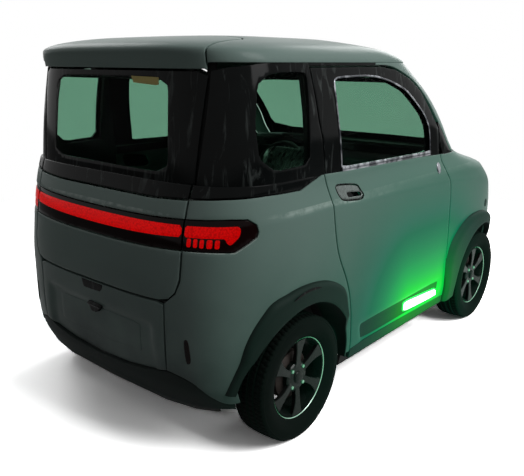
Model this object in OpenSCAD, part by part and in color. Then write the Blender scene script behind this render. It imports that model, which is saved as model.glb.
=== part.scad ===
// Small three-door electric city car. X forward, Y left, Z up, millimetres.
// Origin on the ground, midway between the axles.

/* [Chassis] */
// Distance between the axles
wheelbase = 1750; // [1700:5:1800]
// Distance between the tyre middles of one axle
track = 1275; // [1265:1:1280]
// Height of the floor plate's underside
floor_z = 270; // [262:1:280]
// Thickness of floor, walls and beams
plate = 24; // [18:1:30]

/* [Wheels] */
// Radius of the tyre tread
tyre_r = 265; // [258:1:270]
// Width of the tyre
tyre_w = 155; // [145:1:160]
// Radius of the rim flange
rim_r = 172; // [165:1:178]
// Diameter of the circle through the wheel bolts
lug_pcd = 100; // [96:1:104]
// Radius of the wheel arch opening
arch_r = 330; // [324:1:336]

/* [Body] */
// Thickness of the outer panels
skin = 18; // [14:1:20]
// Thickness of a whole door
door_t = 44; // [38:1:50]
// Gap round doors, hood and tailgate
shut = 7; // [6:0.5:8]
// Thickness of the window glass
glass_t = 5; // [4:0.5:6]
// Height of the waist, where the dark upper body starts
waist_z = 1050; // [1048:1:1054]
// Outer face of the wheel arch flares
flare_y = 740; // [735:1:745]
// Distance of the tailgate's side edge from the middle
gate_y = 460; // [440:5:470]

// Height of the roof panel's lower edge
roof_z = 1500; // [1496:1:1504]

/* [Cabin] */
// Diameter of the steering wheel rim
steer_d = 360; // [340:5:380]
// Width of one front seat
seat_w = 460; // [430:5:480]
// Height of the front seats' cushion top
seat_z = 620; // [600:5:640]

/* [Hidden] */

// Columns of the section tables
Z = 0;        // height
HALF_W = 1;   // half width
FRONT = 2;    // foremost point
FRONT_S = 3;  // where the front corner's curve starts
REAR = 4;     // rearmost point
REAR_S = 5;   // where the rear corner's curve starts
FRONT_N = 6;  // squareness of the front corners
REAR_N = 7;   // squareness of the rear corners

// Heights of the windows, drawn for a waist at 1050 and a roof at 1500
function up(z) = waist_z + (z - 1050) * (roof_z - waist_z) / 450;

LOWER = [
  [210, 688, 1275, 550, -1295, -750, 3.2, 3.8],
  [320, 703, 1335, 550, -1345, -750, 3.4, 3.8],
  [480, 710, 1360, 550, -1360, -750, 3.6, 3.8],
  [650, 712, 1348, 550, -1360, -750, 3.8, 3.8],
  [800, 712, 1300, 550, -1345, -750, 3.8, 3.8],
  [930, 709, 1130, 550, -1325, -750, 3.4, 3.8],
  [waist_z, 685, 700, 350, -1285, -750, 3.0, 4.3]];
UPPER = [
  [waist_z, 678, 694, 350, -1268, -750, 3.0, 4.3],
  [up(1120), 675, 615, 262, -1262, -750, 3.2, 4.3],
  [up(1200), 671, 530, 175, -1255, -750, 3.5, 4.3],
  [up(1350), 655, 342, -15, -1240, -750, 4.2, 4.3],
  [roof_z, 627, 108, -235, -1224, -750, 4.5, 4.3]];
CAP = [
  [roof_z, 629, 110, -233, -1240, -750, 4.5, 4.5],
  [roof_z + 45, 610, 5, -340, -1252, -750, 4.2, 4.5],
  [roof_z + 75, 547, -125, -475, -1210, -750, 3.4, 4.0],
  [roof_z + 98, 410, -320, -565, -1060, -740, 2.8, 3.0],
  [roof_z + 106, 210, -500, -610, -860, -730, 2.4, 2.4]];

axle_x = wheelbase / 2;
wheel_z = tyre_r;
wheel_y = track / 2;
corner_steps = 6;
seat_gap = 0.3;
far = 2000;

function quarter(s, fwd, inset) = let (
    x1 = fwd ? s[FRONT] - inset : s[REAR] + inset,
    x0 = fwd ? s[FRONT_S] : s[REAR_S],
    e = fwd ? s[FRONT_N] : s[REAR_N],
    w = s[HALF_W] - inset)
  [for (i = [0:corner_steps]) let (t = 90 * i / corner_steps)
    [x0 + (x1 - x0) * pow(cos(t), 2 / e), w * pow(sin(t), 2 / e)]];

function flip(p) = [for (v = p) [v[0], -v[1]]];

// Whole outline of one section, once round from the front
function outline(s, inset) = let (
    f = quarter(s, true, inset),
    r = quarter(s, false, inset),
    n = corner_steps)
  concat(f, [for (i = [n:-1:0]) r[i]],
    flip([for (i = [1:n]) r[i]]), flip([for (i = [n:-1:1]) f[i]]));

// Slice of the body: the outline of one section moved inwards, from one height to another
module slice(s, inset, z0, z1) {
  translate([0, 0, z0])
    linear_extrude(z1 - z0)
      polygon(outline(s, inset));
}

// Solid between the sections of one table, moved inwards and down
module loft(table, inset = 0) {
  for (i = [0:len(table) - 2])
    hull()
      for (s = [table[i], table[i + 1]])
        slice(s, inset, s[Z] - inset, s[Z] - inset + 0.02);
}

// Wall under the surface of one table, from one depth to another, open at the bottom
module wall(table, outer, inner, closed_top = false) {
  first = table[0];
  last = table[len(table) - 1];
  difference() {
    loft(table, outer);
    loft(table, inner);
    slice(first, inner, first[Z] - inner, first[Z] - outer + 0.01);
    if (!closed_top) slice(last, inner, last[Z] - inner, last[Z] + 1);
  }
}

// Outline drawn as seen from the right, cut across the car on one side
module side_cut(side, y0 = 300, y1 = 900) {
  translate([0, side > 0 ? y1 : -y0, 0])
    rotate([90, 0, 0])
      linear_extrude(y1 - y0)
        children();
}

// Outline drawn as seen from the front or rear, cut lengthwise
module long_cut(x0, x1) {
  translate([x0, 0, 0])
    rotate([90, 0, 90])
      linear_extrude(x1 - x0)
        children();
}

module both_sides() {
  children();
  mirror([0, 1, 0]) children();
}

// Lower door line, from its rear bottom corner round to its front bottom corner
door_rear_x = -505;
door_front_x = 453;
sill_z = 250;
frame_top_z = roof_z - 16;
door_pts = [[-500, sill_z], [-507, 330], [-532, 498], [-572, 610], [-645, 735],
  [-674, 822], [-690, 910], [-703, 987], [-716, waist_z + 40], [-730, up(1213)], [-750, up(1286)],
  [-766, up(1390)], [-778, frame_top_z], [-250, frame_top_z], [-125, frame_top_z - 14], [0, up(1430)],
  [95, up(1378)], [165, up(1310)], [205, up(1265)], [240, up(1230)], [283, up(1185)], [297, up(1124)],
  [300, 1035],
  [351, 952], [396, 902], [411, 789], [413, 723], [424, 577], [430, 430], [448, 313],
  [door_front_x, sill_z]];
module door_outline(grow = 0) {
  offset(delta = grow) polygon(door_pts);
}

window_low_z = 1072;
module door_window(grow = 0) {
  offset(delta = grow)
    polygon([[-603, window_low_z + 14], [-609, up(1162)], [-624, up(1282)], [-634, up(1425)],
      [-601, up(1445)], [-405, up(1449)],
      [-296, up(1444)], [-176, up(1421)], [-50, up(1381)], [37, up(1325)], [123, up(1263)],
      [172, up(1201)], [185, up(1149)],
      [196, window_low_z]]);
}

module quarter_window(grow = 0) {
  offset(delta = grow)
    polygon([[-1068, up(1420)], [-1021, up(1458)], [-972, up(1467)], [-880, up(1469)],
      [-812, up(1465)], [-817, up(1300)], [-822, up(1131)],
      [-1019, up(1125)], [-1086, up(1173)], [-1090, up(1290)]]);
}

module arch(x, r, y0, y1) {
  for (side = [-1, 1])
    translate([x, side > 0 ? y1 : -y0, wheel_z])
      rotate([90, 0, 0])
        cylinder(r = r, h = y1 - y0, $fn = 64);
}
module both_arches(r, y0 = 200) {
  arch(axle_x, r, y0, 900);
  arch(-axle_x, r, y0, 900);
}

gate_low_z = 652;
gate_r = 60;
module gate_outline(grow = 0) {
  offset(delta = grow)
    hull() {
      for (s = [-1, 1])
        translate([s * (gate_y - gate_r), gate_low_z + gate_r]) circle(gate_r, $fn = 32);
      translate([-gate_y, waist_z]) square([2 * gate_y, 0.01]);
    }
}
glass_side_low = gate_y + 12;
glass_side_high = gate_y + 38;
spoiler_low_z = roof_z - 22;
module glass_outline(grow = 0, top = spoiler_low_z - seat_gap) {
  offset(delta = grow)
    polygon([[-glass_side_low, waist_z], [glass_side_low, waist_z],
      [glass_side_high, top], [-glass_side_high, top]]);
}

// Ends of the swinging panel's own bracket, either side of the knuckle
module ears(reach) {
  for (z = [-knuckle_h / 2 - seat_gap - ear_t, knuckle_h / 2 + seat_gap])
    translate([-pin_r, -reach, z]) cube([2 * pin_r, reach + pin_r, ear_t]);
}
// Hinge of a swinging panel. The pin stands on local Z, the panel reaches towards local -X
// and its outside faces local -Y. The arm runs inwards from the knuckle to its seat.
pin_r = 8;
knuckle_h = 50;
pocket_play = 5;
ear_t = 8;
module knuckle(arm, foot = 0) {
  cylinder(r = pin_r, h = knuckle_h, center = true, $fn = 32);
  translate([-6, 0, -knuckle_h / 2 + pocket_play])
    cube([12, arm, knuckle_h - 2 * pocket_play]);
  if (foot > 0)
    translate([-6, arm - 12, -knuckle_h / 2 + pocket_play])
      cube([foot + 6, 12, knuckle_h - 2 * pocket_play]);
}
module pocket() {
  h = knuckle_h + 2 * seat_gap;
  translate([-pin_r - 5, -pin_r - 2, -h / 2]) cube([200, 200, h]);
}

hinge_x = door_front_x - 128;
hinge_y = 695;
hinge_zs = [420, 760];
door_arm = 110;
post_x = 475;
// Radius that the door's inner front corner sweeps, with its play
swing_r = sqrt(pow(door_front_x - hinge_x, 2) + pow(712 - door_t - hinge_y, 2)) + 8;
module door_hinge_at() {
  for (z = hinge_zs)
    translate([hinge_x, -hinge_y, z]) children();
}

gate_axis_x = -1075;
gate_axis_z = roof_z + 70;
gate_gap = 9;
spoiler_x = gate_axis_x + 90;
gate_hinge_ys = [-300, 300];
gate_arm = 112;
module gate_hinge_at() {
  for (y = gate_hinge_ys)
    translate([gate_axis_x, y, gate_axis_z]) rotate([-90, 0, 0]) children();
}

hood_y = 520;
hood_rear_x = 760;
hood_nose_x = 1290;
hood_axis_x = hood_rear_x + 30;
hood_axis_z = 995;
cowl_gap = 24;
hood_hinge_ys = [-300, 300];
hood_arm = 50;
module hood_hinge_at() {
  for (y = hood_hinge_ys)
    translate([hood_axis_x, y, hood_axis_z]) rotate([-90, 0, 0]) mirror([1, 0, 0]) children();
}

inner_t = 16;
inner_out = skin + seat_gap;
inner_in = inner_out + inner_t;
raised_z = 430;
tub_front_x = 540;
tub_rear_x = -560;
front_well_y = 386;
rear_well_y = 546;
firewall_top = hood_axis_z - hood_arm;
// Pads for a workshop jack under the floor
jack_front_x = 400;
jack_rear_x = -420;
jack_y = 520;
jack_h = 12;

// Inner side of one table of sections, standing just inside the outer panels
module inner_wall(table) {
  wall(table, inner_out, inner_in);
}

module tub() {
  color([0.10, 0.10, 0.11]) {
    difference() {
      union() {
        inner_wall(LOWER);
        intersection() {
          inner_wall(UPPER);
          translate([-far, -far, 0]) cube([far - 680, 2 * far, far]);
        }
        intersection() {
          loft(LOWER, inner_in - 1);
          union() {
            translate([tub_rear_x, -far, floor_z]) cube([tub_front_x - tub_rear_x, 2 * far, plate]);
            translate([-far, -far, raised_z]) cube([far + tub_rear_x + plate, 2 * far, plate]);
            translate([tub_front_x - plate, -far, raised_z]) cube([far, 2 * far, plate]);
            translate([tub_rear_x, -far, floor_z]) cube([plate, 2 * far, raised_z - floor_z + plate]);
            translate([tub_front_x - plate, -far, floor_z]) cube([plate, 2 * far, firewall_top - floor_z]);
            for (s = [-1, 1])
              translate([post_x, s * 610 - 40, floor_z]) cube([tub_front_x - post_x, 80, 700]);
          }
        }
        intersection() {
          difference() {
            union() {
              arch(axle_x, arch_r + 16, front_well_y - 16, 690);
              arch(-axle_x, arch_r + 16, rear_well_y - 16, 690);
            }
            for (x = [-axle_x, axle_x])
              translate([x - 150, -far, 0]) cube([300, 2 * far, raised_z]);
          }
          loft(LOWER, inner_in - 1);
          translate([-far, -far, floor_z]) cube([2 * far, 2 * far, far]);
        }
      }
      for (s = [-1, 1]) {
        side_cut(s, 648) door_outline(shut);
        intersection() {
          side_cut(s, 500) door_outline(shut);
          translate([-far, -far, 960]) cube([2 * far, 2 * far, far]);
        }
        side_cut(s, 400) quarter_window(12);
        translate([hinge_x, s * hinge_y, 200]) cylinder(r = swing_r, h = 800, $fn = 48);
      }
      intersection() {
        translate([-far, -600, waist_z - 8]) cube([far - 1000, 1200, far]);
        long_cut(-1400, -1000) glass_outline(8);
      }
      long_cut(-1400, -1000) gate_outline(shut);
      translate([tub_front_x, -hood_y - 20, 560]) cube([far, 2 * hood_y + 40, far]);
      translate([1050, -far, 560]) cube([far, 2 * far, far]);
      translate([120, -far, waist_z - 12]) cube([far, 2 * far, far]);
      arch(axle_x, arch_r, front_well_y, 900);
      arch(-axle_x, arch_r, rear_well_y, 900);
    }
    for (x = [jack_rear_x, jack_front_x], y = [-jack_y, jack_y])
      translate([x, y, floor_z - jack_h]) cylinder(r = 30, h = jack_h + plate / 2, $fn = 48);
    intersection() {
      loft(UPPER, inner_out);
      translate([gate_axis_x - 30, -far, gate_axis_z - gate_arm - plate]) cube([60, 2 * far, plate]);
    }
    translate([tub_front_x - plate, -hood_y, firewall_top - plate])
      cube([hood_axis_x + 30 - tub_front_x + plate, 2 * hood_y, plate]);
  }
}

module battery() {
  color([0.20, 0.21, 0.22])
    translate([-450, -380, floor_z - seat_gap - 110]) cube([900, 760, 110]);
}

axle_r = 32;
hub_face = wheel_y + 19.7;
motor_r = 105;
module motor() {
  color([0.42, 0.43, 0.45]) {
    translate([-axle_x + axle_r + seat_gap + motor_r, 150, wheel_z])
      rotate([90, 0, 0]) cylinder(r = motor_r, h = 300, $fn = 64);
  }
}

stub_r = 14;
module rear_axle() {
  color([0.16, 0.16, 0.17]) {
    for (s = [-1, 1])
      translate([-axle_x, 0, wheel_z])
        rotate([s * 90, 0, 0]) {
          cylinder(r = axle_r, h = hub_face - 60, $fn = 48);
          cylinder(r = stub_r, h = hub_face + 30, $fn = 32);
          translate([0, 0, hub_face - 72]) cylinder(r = 95, h = 12, $fn = 64);
          translate([0, 0, hub_face - 60]) cylinder(r = 38, h = 60, $fn = 48);
        }
    for (s = [-1, 1])
      translate([-axle_x, s * 400, wheel_z]) {
        translate([-45, -30, 20]) cube([90, 60, 20]);
        translate([0, 0, 40]) cylinder(r = 36, h = raised_z - wheel_z - 40 - seat_gap, $fn = 48);
        translate([-20, -22, -18]) cube([axle_x + tub_rear_x + 15, 44, 36]);
      }
  }
}

kingpin_y = wheel_y - 58;
kingpin_h = 110;
ball_r = 15;
module front_axle() {
  color([0.16, 0.16, 0.17]) {
    translate([axle_x - 60, -330, wheel_z - kingpin_h - 10]) cube([120, 660, 36]);
    both_sides() {
      for (z = [wheel_z - kingpin_h - ball_r, wheel_z + kingpin_h - ball_r]) {
        hull() {
          translate([axle_x, kingpin_y, z]) cylinder(r = ball_r + 8, h = 24, $fn = 32);
          translate([axle_x - 40, 310, z]) cube([80, 20, 24]);
        }
      }
      translate([axle_x - 40, 290, wheel_z - kingpin_h - 10])
        cube([80, 30, 2 * kingpin_h + 30]);
      translate([axle_x, 345, wheel_z + kingpin_h + 8.9])
        cylinder(r = 30, h = raised_z - wheel_z - kingpin_h - 8.9 - seat_gap, $fn = 48);
    }
  }
}

module knuckle_side(side) {
  color([0.24, 0.24, 0.25])
    mirror([0, side > 0 ? 0 : 1, 0])
      translate([axle_x, 0, wheel_z]) {
        translate([0, kingpin_y, -kingpin_h + 9 + seat_gap])
          cylinder(r = ball_r + 4, h = 2 * kingpin_h - 15 - 9 - 2 * seat_gap, $fn = 48);
        rotate([-90, 0, 0]) {
          translate([0, 0, kingpin_y]) cylinder(r = 38, h = hub_face - kingpin_y, $fn = 48);
          translate([0, 0, kingpin_y]) cylinder(r = stub_r, h = hub_face - kingpin_y + 30, $fn = 32);
        }
        translate([-105, kingpin_y - 12, -20]) cube([100, 24, 20]);
      }
}
module knuckle_left() {
  knuckle_side(1);
}
module knuckle_right() {
  knuckle_side(-1);
}

tread_round = 20;
module tyre_at(fwd, side) {
  h = tyre_w / 2;
  color([0.05, 0.05, 0.05])
    translate([fwd * axle_x, side * wheel_y, wheel_z])
      rotate([90, 0, 0])
        rotate_extrude($fn = 64)
          polygon([[rim_r - 8, -h + 14], [rim_r + 6, -h + 5], [rim_r + 40, -h], [tyre_r - 28, -h + 2],
            [tyre_r - 6, -h + tread_round], [tyre_r, -h + 34], [tyre_r, h - 34],
            [tyre_r - 6, h - tread_round],
            [tyre_r - 28, h - 2], [rim_r + 40, h], [rim_r + 6, h - 5], [rim_r - 8, h - 14]]);
}

spokes = 6;
lug_r = 6.5;
barrel_r = rim_r - 8 - seat_gap;
spoke_face = 56;
// Wheel with its outer face towards +Z, its middle plane at z = 0
module rim_shape() {
  face = tyre_w / 2 - 14;
  difference() {
    union() {
      rotate_extrude($fn = 96)
        polygon([[barrel_r, -face], [barrel_r, face], [barrel_r - 8, face], [barrel_r - 16, face - 12],
          [barrel_r - 14, -face]]);
      translate([0, 0, 20]) cylinder(r = lug_pcd / 2 + 12, h = spoke_face - 20, $fn = 64);
      for (i = [0:spokes - 1])
        rotate(i * 360 / spokes)
          translate([0, 0, spoke_face - 22])
            linear_extrude(22)
              polygon([[30, -19], [70, -13], [110, -15], [barrel_r - 8, -30], [barrel_r - 8, 14],
                [110, 15], [70, 15], [30, 19]]);
    }
    translate([0, 0, 19]) cylinder(r = stub_r + seat_gap, h = 32, $fn = 48);
    for (a = [45:90:315])
      rotate(a) translate([lug_pcd / 2, 0, 19]) cylinder(r = lug_r, h = spoke_face, $fn = 24);
  }
}
module rim_at(fwd, side) {
  color([0.62, 0.64, 0.66])
    translate([fwd * axle_x, side * wheel_y, wheel_z])
      rotate([-90 * side, 0, 0])
        rim_shape();
}
module tyre_front_left() {
  tyre_at(1, 1);
}
module tyre_front_right() {
  tyre_at(1, -1);
}
module tyre_rear_left() {
  tyre_at(-1, 1);
}
module tyre_rear_right() {
  tyre_at(-1, -1);
}
module rim_front_left() {
  rim_at(1, 1);
}
module rim_front_right() {
  rim_at(1, -1);
}
module rim_rear_left() {
  rim_at(-1, 1);
}
module rim_rear_right() {
  rim_at(-1, -1);
}

paint = [0.33, 0.38, 0.36];
gloss_black = [0.03, 0.03, 0.04];
plastic = [0.09, 0.11, 0.11];

bumper_y = 500;
bumper_top = 640;
// Front panel beside the hood, from the door back to the lamp
module fender_side(side) {
  color(paint)
    difference() {
      wall(LOWER, 0, skin);
      translate([-far, -far, 0]) cube([far + door_front_x + 40 - far, 2 * far, far]);
      side_cut(side, 400, 1000) door_outline(shut);
      translate([-far, -far, 0]) cube([far + 150, 2 * far, far]);
      translate([-far, side > 0 ? -far : 0, 0]) cube([2 * far, far, far]);
      translate([0, -hood_y - shut, 0]) cube([far, 2 * (hood_y + shut), far]);
      translate([axle_x + 160, -far, 0]) cube([far, 2 * far, bumper_top]);
      both_arches(arch_r, 300);
      translate([-far, -far, 0]) cube([2 * far, 2 * far, sill_z]);
      lamp_block(2);
    }
}
module fender_left() {
  fender_side(1);
}
module fender_right() {
  fender_side(-1);
}

lamp_z = 727;
module lamp_block(grow) {
  both_sides()
    translate([1060, 540, lamp_z])
      rotate([0, 90, 0])
        cylinder(r = 91 + grow, h = 400, $fn = 48);
}

module hood() {
  color(paint) {
    difference() {
      intersection() {
        wall(LOWER, 0, 14);
        translate([hood_rear_x, -hood_y, bumper_top + shut]) cube([far, 2 * hood_y, far]);
      }
      lamp_block(shut);
      hood_hinge_at() pocket();
    }
    hood_hinge_at() ears(24);
  }
}

grille_z0 = 330;
grille_z1 = 470;
module grille_cut(grow) {
  long_cut(1150, 1500)
    offset(delta = grow)
      polygon([[-380, grille_z1], [-330, grille_z0], [330, grille_z0], [380, grille_z1]]);
}
module front_bumper() {
  color(paint)
    difference() {
      wall(LOWER, 0, skin);
      translate([-far, -far, 0]) cube([far + axle_x + 160, 2 * far, far]);
      translate([-far, -far, bumper_top]) cube([2 * far, 2 * far, far]);
      both_arches(arch_r, 300);
      lamp_block(2);
      grille_cut(0);
    }
}
bars = 4;
module front_grille() {
  color(plastic)
    difference() {
      intersection() {
        wall(LOWER, 3, skin);
        grille_cut(-seat_gap);
      }
      for (i = [0:bars - 1])
        translate([1100, -310, grille_z0 + 16 + i * 30]) cube([400, 620, 14]);
    }
}
module headlamps() {
  color([0.75, 0.78, 0.80])
    both_sides()
      translate([1208, 540, lamp_z])
        intersection() {
          translate([-200, 0, 0]) rotate([0, 90, 0]) cylinder(r = 93 - seat_gap, h = 400, $fn = 64);
          rotate([0, -14, 38]) translate([-30, -200, -200]) cube([30, 400, 400]);
        }
}

module cowl() {
  color(plastic)
    intersection() {
      wall(LOWER, 0, skin, true);
      translate([hood_rear_x - 220, -hood_y, 900]) cube([220 - cowl_gap, 2 * hood_y, 300]);
    }
}
// Fixed halves of the door, tailgate and hood hinges
module hinges() {
  color([0.30, 0.30, 0.31]) {
    both_sides() door_hinge_at() knuckle(door_arm, post_x - hinge_x);
    gate_hinge_at() knuckle(gate_arm - seat_gap);
    hood_hinge_at() knuckle(hood_arm - seat_gap);
  }
}

screen_half_low = 632;
screen_half_high = 562;
screen_top_z = roof_z - 50;
module screen_outline(grow = 0) {
  offset(delta = grow)
    polygon([[-screen_half_low, waist_z], [screen_half_low, waist_z],
      [screen_half_high, screen_top_z], [-screen_half_high, screen_top_z]]);
}
module windscreen() {
  color([0.12, 0.16, 0.15])
    intersection() {
      wall(UPPER, 6, 6 + glass_t);
      long_cut(-250, 900) screen_outline(-seat_gap);
    }
}

rail_z = frame_top_z + shut;
rail_pts = [[-1240, rail_z], [-1240, up(1700)], [300, up(1700)], [900, up(1200)], [720, waist_z + seat_gap],
  [470, waist_z + seat_gap], [429, up(1082)], [370, up(1150)], [285, up(1224)], [205, up(1305)],
  [112, up(1388)], [20, up(1441)],
  [-115, rail_z - 8], [-180, rail_z]];
module roof() {
  color(paint)
    difference() {
      union() {
        wall(CAP, 0, skin, true);
        intersection() {
          wall(UPPER, 0, skin);
          union() {
            side_cut(1, 0, 1000) polygon(rail_pts);
            side_cut(-1, 0, 1000) polygon(rail_pts);
          }
        }
      }
      side_cut(1, 300, 1000) door_outline(shut);
      side_cut(-1, 300, 1000) door_outline(shut);
      translate([-far, -gate_y - 42, 0]) cube([far + spoiler_x + gate_gap, 2 * (gate_y + 42), far]);
      long_cut(-250, 900) screen_outline();
    }
}

module window_frames() {
  color(gloss_black)
    difference() {
      intersection() {
        wall(UPPER, 0, skin);
        union() {
          translate([-far, -far, waist_z + seat_gap])
            cube([far - 560, 2 * far, rail_z - waist_z - 2 * seat_gap]);
          translate([250, -far, waist_z + seat_gap]) cube([300, 2 * far, up(1300) - waist_z]);
        }
      }
      side_cut(1, 300, 1000) door_outline(shut);
      side_cut(-1, 300, 1000) door_outline(shut);
      side_cut(1, 300, 1000) offset(delta = seat_gap) polygon(rail_pts);
      side_cut(-1, 300, 1000) offset(delta = seat_gap) polygon(rail_pts);
      side_cut(1, 300, 1000) quarter_window();
      side_cut(-1, 300, 1000) quarter_window();
      long_cut(-1400, -1000) glass_outline(shut, roof_z + 20);
      long_cut(200, 900) screen_outline(seat_gap);
    }
}

module quarter_glass() {
  color([0.05, 0.06, 0.06])
    intersection() {
      wall(UPPER, 3, 3 + glass_t);
      union() {
        side_cut(1, 300, 1000) quarter_window(-seat_gap);
        side_cut(-1, 300, 1000) quarter_window(-seat_gap);
      }
    }
}

bar_z0 = 848;
bar_z1 = 954;
bar_depth = 14;
lamp_pts = [[-1400, bar_z0], [-1400, 965], [-1175, 967], [-1157, 963], [-1129, 945], [-1125, 922],
  [-1130, 905], [-1166, 880], [-1205, 855], [-1220, bar_z0]];
module quarter_side(side) {
  color(paint)
    difference() {
      wall(LOWER, 0, skin);
      translate([-480, -far, 0]) cube([far, 2 * far, far]);
      translate([-far, side > 0 ? -far : 0, 0]) cube([2 * far, far, far]);
      side_cut(side, 300, 1000) door_outline(shut);
      long_cut(-1400, -1000) gate_outline(shut);
      translate([-far, -bumper_y + 80, 0]) cube([far - 900, 2 * (bumper_y - 80), gate_low_z + 30]);
      translate([-far, -gate_y, 0]) cube([far - 900, 2 * gate_y, gate_low_z]);
      side_cut(side, 300, 1000) polygon(lamp_pts);
      both_arches(arch_r, 300);
      translate([-far, -far, 0]) cube([2 * far, 2 * far, sill_z]);
    }
}
module quarter_left() {
  quarter_side(1);
}
module quarter_right() {
  quarter_side(-1);
}

valance_z = 352;
module rear_bumper() {
  color(paint)
    difference() {
      wall(LOWER, 0, skin);
      translate([-900, -far, 0]) cube([2 * far, 2 * far, far]);
      translate([-far, bumper_y - 80, 0]) cube([2 * far, far, far]);
      translate([-far, -far - bumper_y + 80, 0]) cube([2 * far, far, far]);
      translate([-far, -far, gate_low_z - shut]) cube([2 * far, 2 * far, far]);
      translate([-far, -far, 0]) cube([2 * far, 2 * far, valance_z]);
      long_cut(-1400, plate_x) plate_outline();
    }
}
plate_x = -1348;
plate_hole_pitch = 210;
plate_hole_r = 3.2;
module plate_outline(grow = 0) {
  offset(r = 20 + grow, $fn = 32)
    polygon([[-310, 415], [-255, 525], [255, 525], [310, 415]]);
}
// Panel at the bottom of the number plate recess, with the plate's two screw holes
module plate_panel() {
  color([0.28, 0.32, 0.31])
    difference() {
      long_cut(plate_x - 4, plate_x - seat_gap) plate_outline(-seat_gap);
      for (y = [-plate_hole_pitch / 2, plate_hole_pitch / 2])
        translate([plate_x - 5, y, 480]) rotate([0, 90, 0]) cylinder(r = plate_hole_r, h = 10, $fn = 32);
    }
}
module rear_valance() {
  color(plastic)
    difference() {
      wall(LOWER, 4, skin);
      translate([-900, -far, 0]) cube([2 * far, 2 * far, far]);
      translate([-far, bumper_y - 80, 0]) cube([2 * far, far, far]);
      translate([-far, -far - bumper_y + 80, 0]) cube([2 * far, far, far]);
      translate([-far, -far, valance_z]) cube([2 * far, 2 * far, far]);
      translate([-far, -far, 0]) cube([2 * far, 2 * far, 232]);
    }
}
module reflectors() {
  color([0.25, 0.02, 0.02])
    difference() {
      both_sides() intersection() {
        wall(LOWER, -3, -0.3);
        long_cut(-1400, -1000)
          translate([bumper_y, 478]) square([14, 80], center = true);
      }
      translate([0, -far, 0]) cube([far, 2 * far, far]);
    }
}

module tail_lamps() {
  color([0.55, 0.02, 0.02])
    difference() {
      intersection() {
        wall(LOWER, 1, skin);
        union() {
          side_cut(1, 300, 1000) offset(delta = -seat_gap) polygon(lamp_pts);
          side_cut(-1, 300, 1000) offset(delta = -seat_gap) polygon(lamp_pts);
        }
      }
      long_cut(-1400, -1000) gate_outline(shut);
    }
}

module spoiler() {
  color(paint) {
    difference() {
      intersection() {
        union() {
          wall(CAP, 0, 14, true);
          intersection() {
            wall(UPPER, 0, 14);
            translate([-far, -far, spoiler_low_z]) cube([far - 1150, 2 * far, far]);
          }
        }
        translate([-far, -gate_y - 35, up(1300)]) cube([far + spoiler_x, 2 * (gate_y + 35), 500]);
      }
      gate_hinge_at() pocket();
    }
    gate_hinge_at() ears(16);
  }
}

module tailgate() {
  color(paint)
    difference() {
      intersection() {
        wall(LOWER, 0, 30);
        long_cut(-1400, -1000) gate_outline();
      }
      intersection() {
        wall(LOWER, -5, bar_depth);
        translate([-far, -gate_y - 5, bar_z0]) cube([far - 900, 2 * gate_y + 10, bar_z1 - bar_z0]);
      }
      hull() {
        translate([-1400, -45, gate_low_z - 20]) cube([60, 90, 30]);
        translate([-1400, -35, gate_low_z - 20]) cube([60, 70, 45]);
      }
    }
}
module light_bar() {
  color([0.60, 0.02, 0.02])
    intersection() {
      wall(LOWER, 2, bar_depth - seat_gap);
      long_cut(-1400, -1000) gate_outline(-1);
      translate([-far, -far, bar_z0 + seat_gap])
        cube([far - 900, 2 * far, bar_z1 - bar_z0 - 2 * seat_gap]);
    }
}
module rear_glass() {
  color([0.04, 0.05, 0.05])
    difference() {
      intersection() {
        wall(UPPER, 2, 10);
        long_cut(-1400, -1000) glass_outline();
      }
      translate([-far, -far, 0]) cube([2 * far, 2 * far, waist_z + seat_gap]);
    }
}

module door_side(side) {
  color(paint)
    difference() {
      intersection() {
        union() {
          wall(LOWER, 0, door_t);
          wall(UPPER, 0, 32);
        }
        side_cut(side, 300, 1000) door_outline();
      }
      side_cut(side, 300, 1000) door_window();
      if (side < 0)
        door_hinge_at() pocket();
      else
        mirror([0, 1, 0]) door_hinge_at() pocket();
      side_cut(side, recess_y, 900)
        polygon([[-425, 300], [-400, 360], [-350, 374], [220, 366], [330, 356], [340, 262], [-370, 277]]);
    }
}
module door_left() {
  door_side(1);
}
module door_right() {
  door_side(-1);
}
module door_glass_side(side) {
  color([0.05, 0.06, 0.06])
    intersection() {
      wall(UPPER, 12, 12 + glass_t);
      side_cut(side, 300, 1000) door_window(-seat_gap);
    }
}
module door_glass_left() {
  door_glass_side(1);
}
module door_glass_right() {
  door_glass_side(-1);
}

// Pull handle and light strip of one door
recess_y = 704;
module door_trim_side(side) {
  color(plastic) {
    intersection() {
      wall(LOWER, -12, -seat_gap);
      side_cut(side, 680, 900)
        hull() {
          translate([-645, 1005]) circle(18, $fn = 32);
          translate([-520, 992]) circle(18, $fn = 32);
        }
    }
    side_cut(side, recess_y + seat_gap, 714)
      hull() {
        translate([0, 318]) circle(14, $fn = 32);
        translate([300, 310]) circle(14, $fn = 32);
      }
  }
}
module door_trim_left() {
  door_trim_side(1);
}
module door_trim_right() {
  door_trim_side(-1);
}

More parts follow.
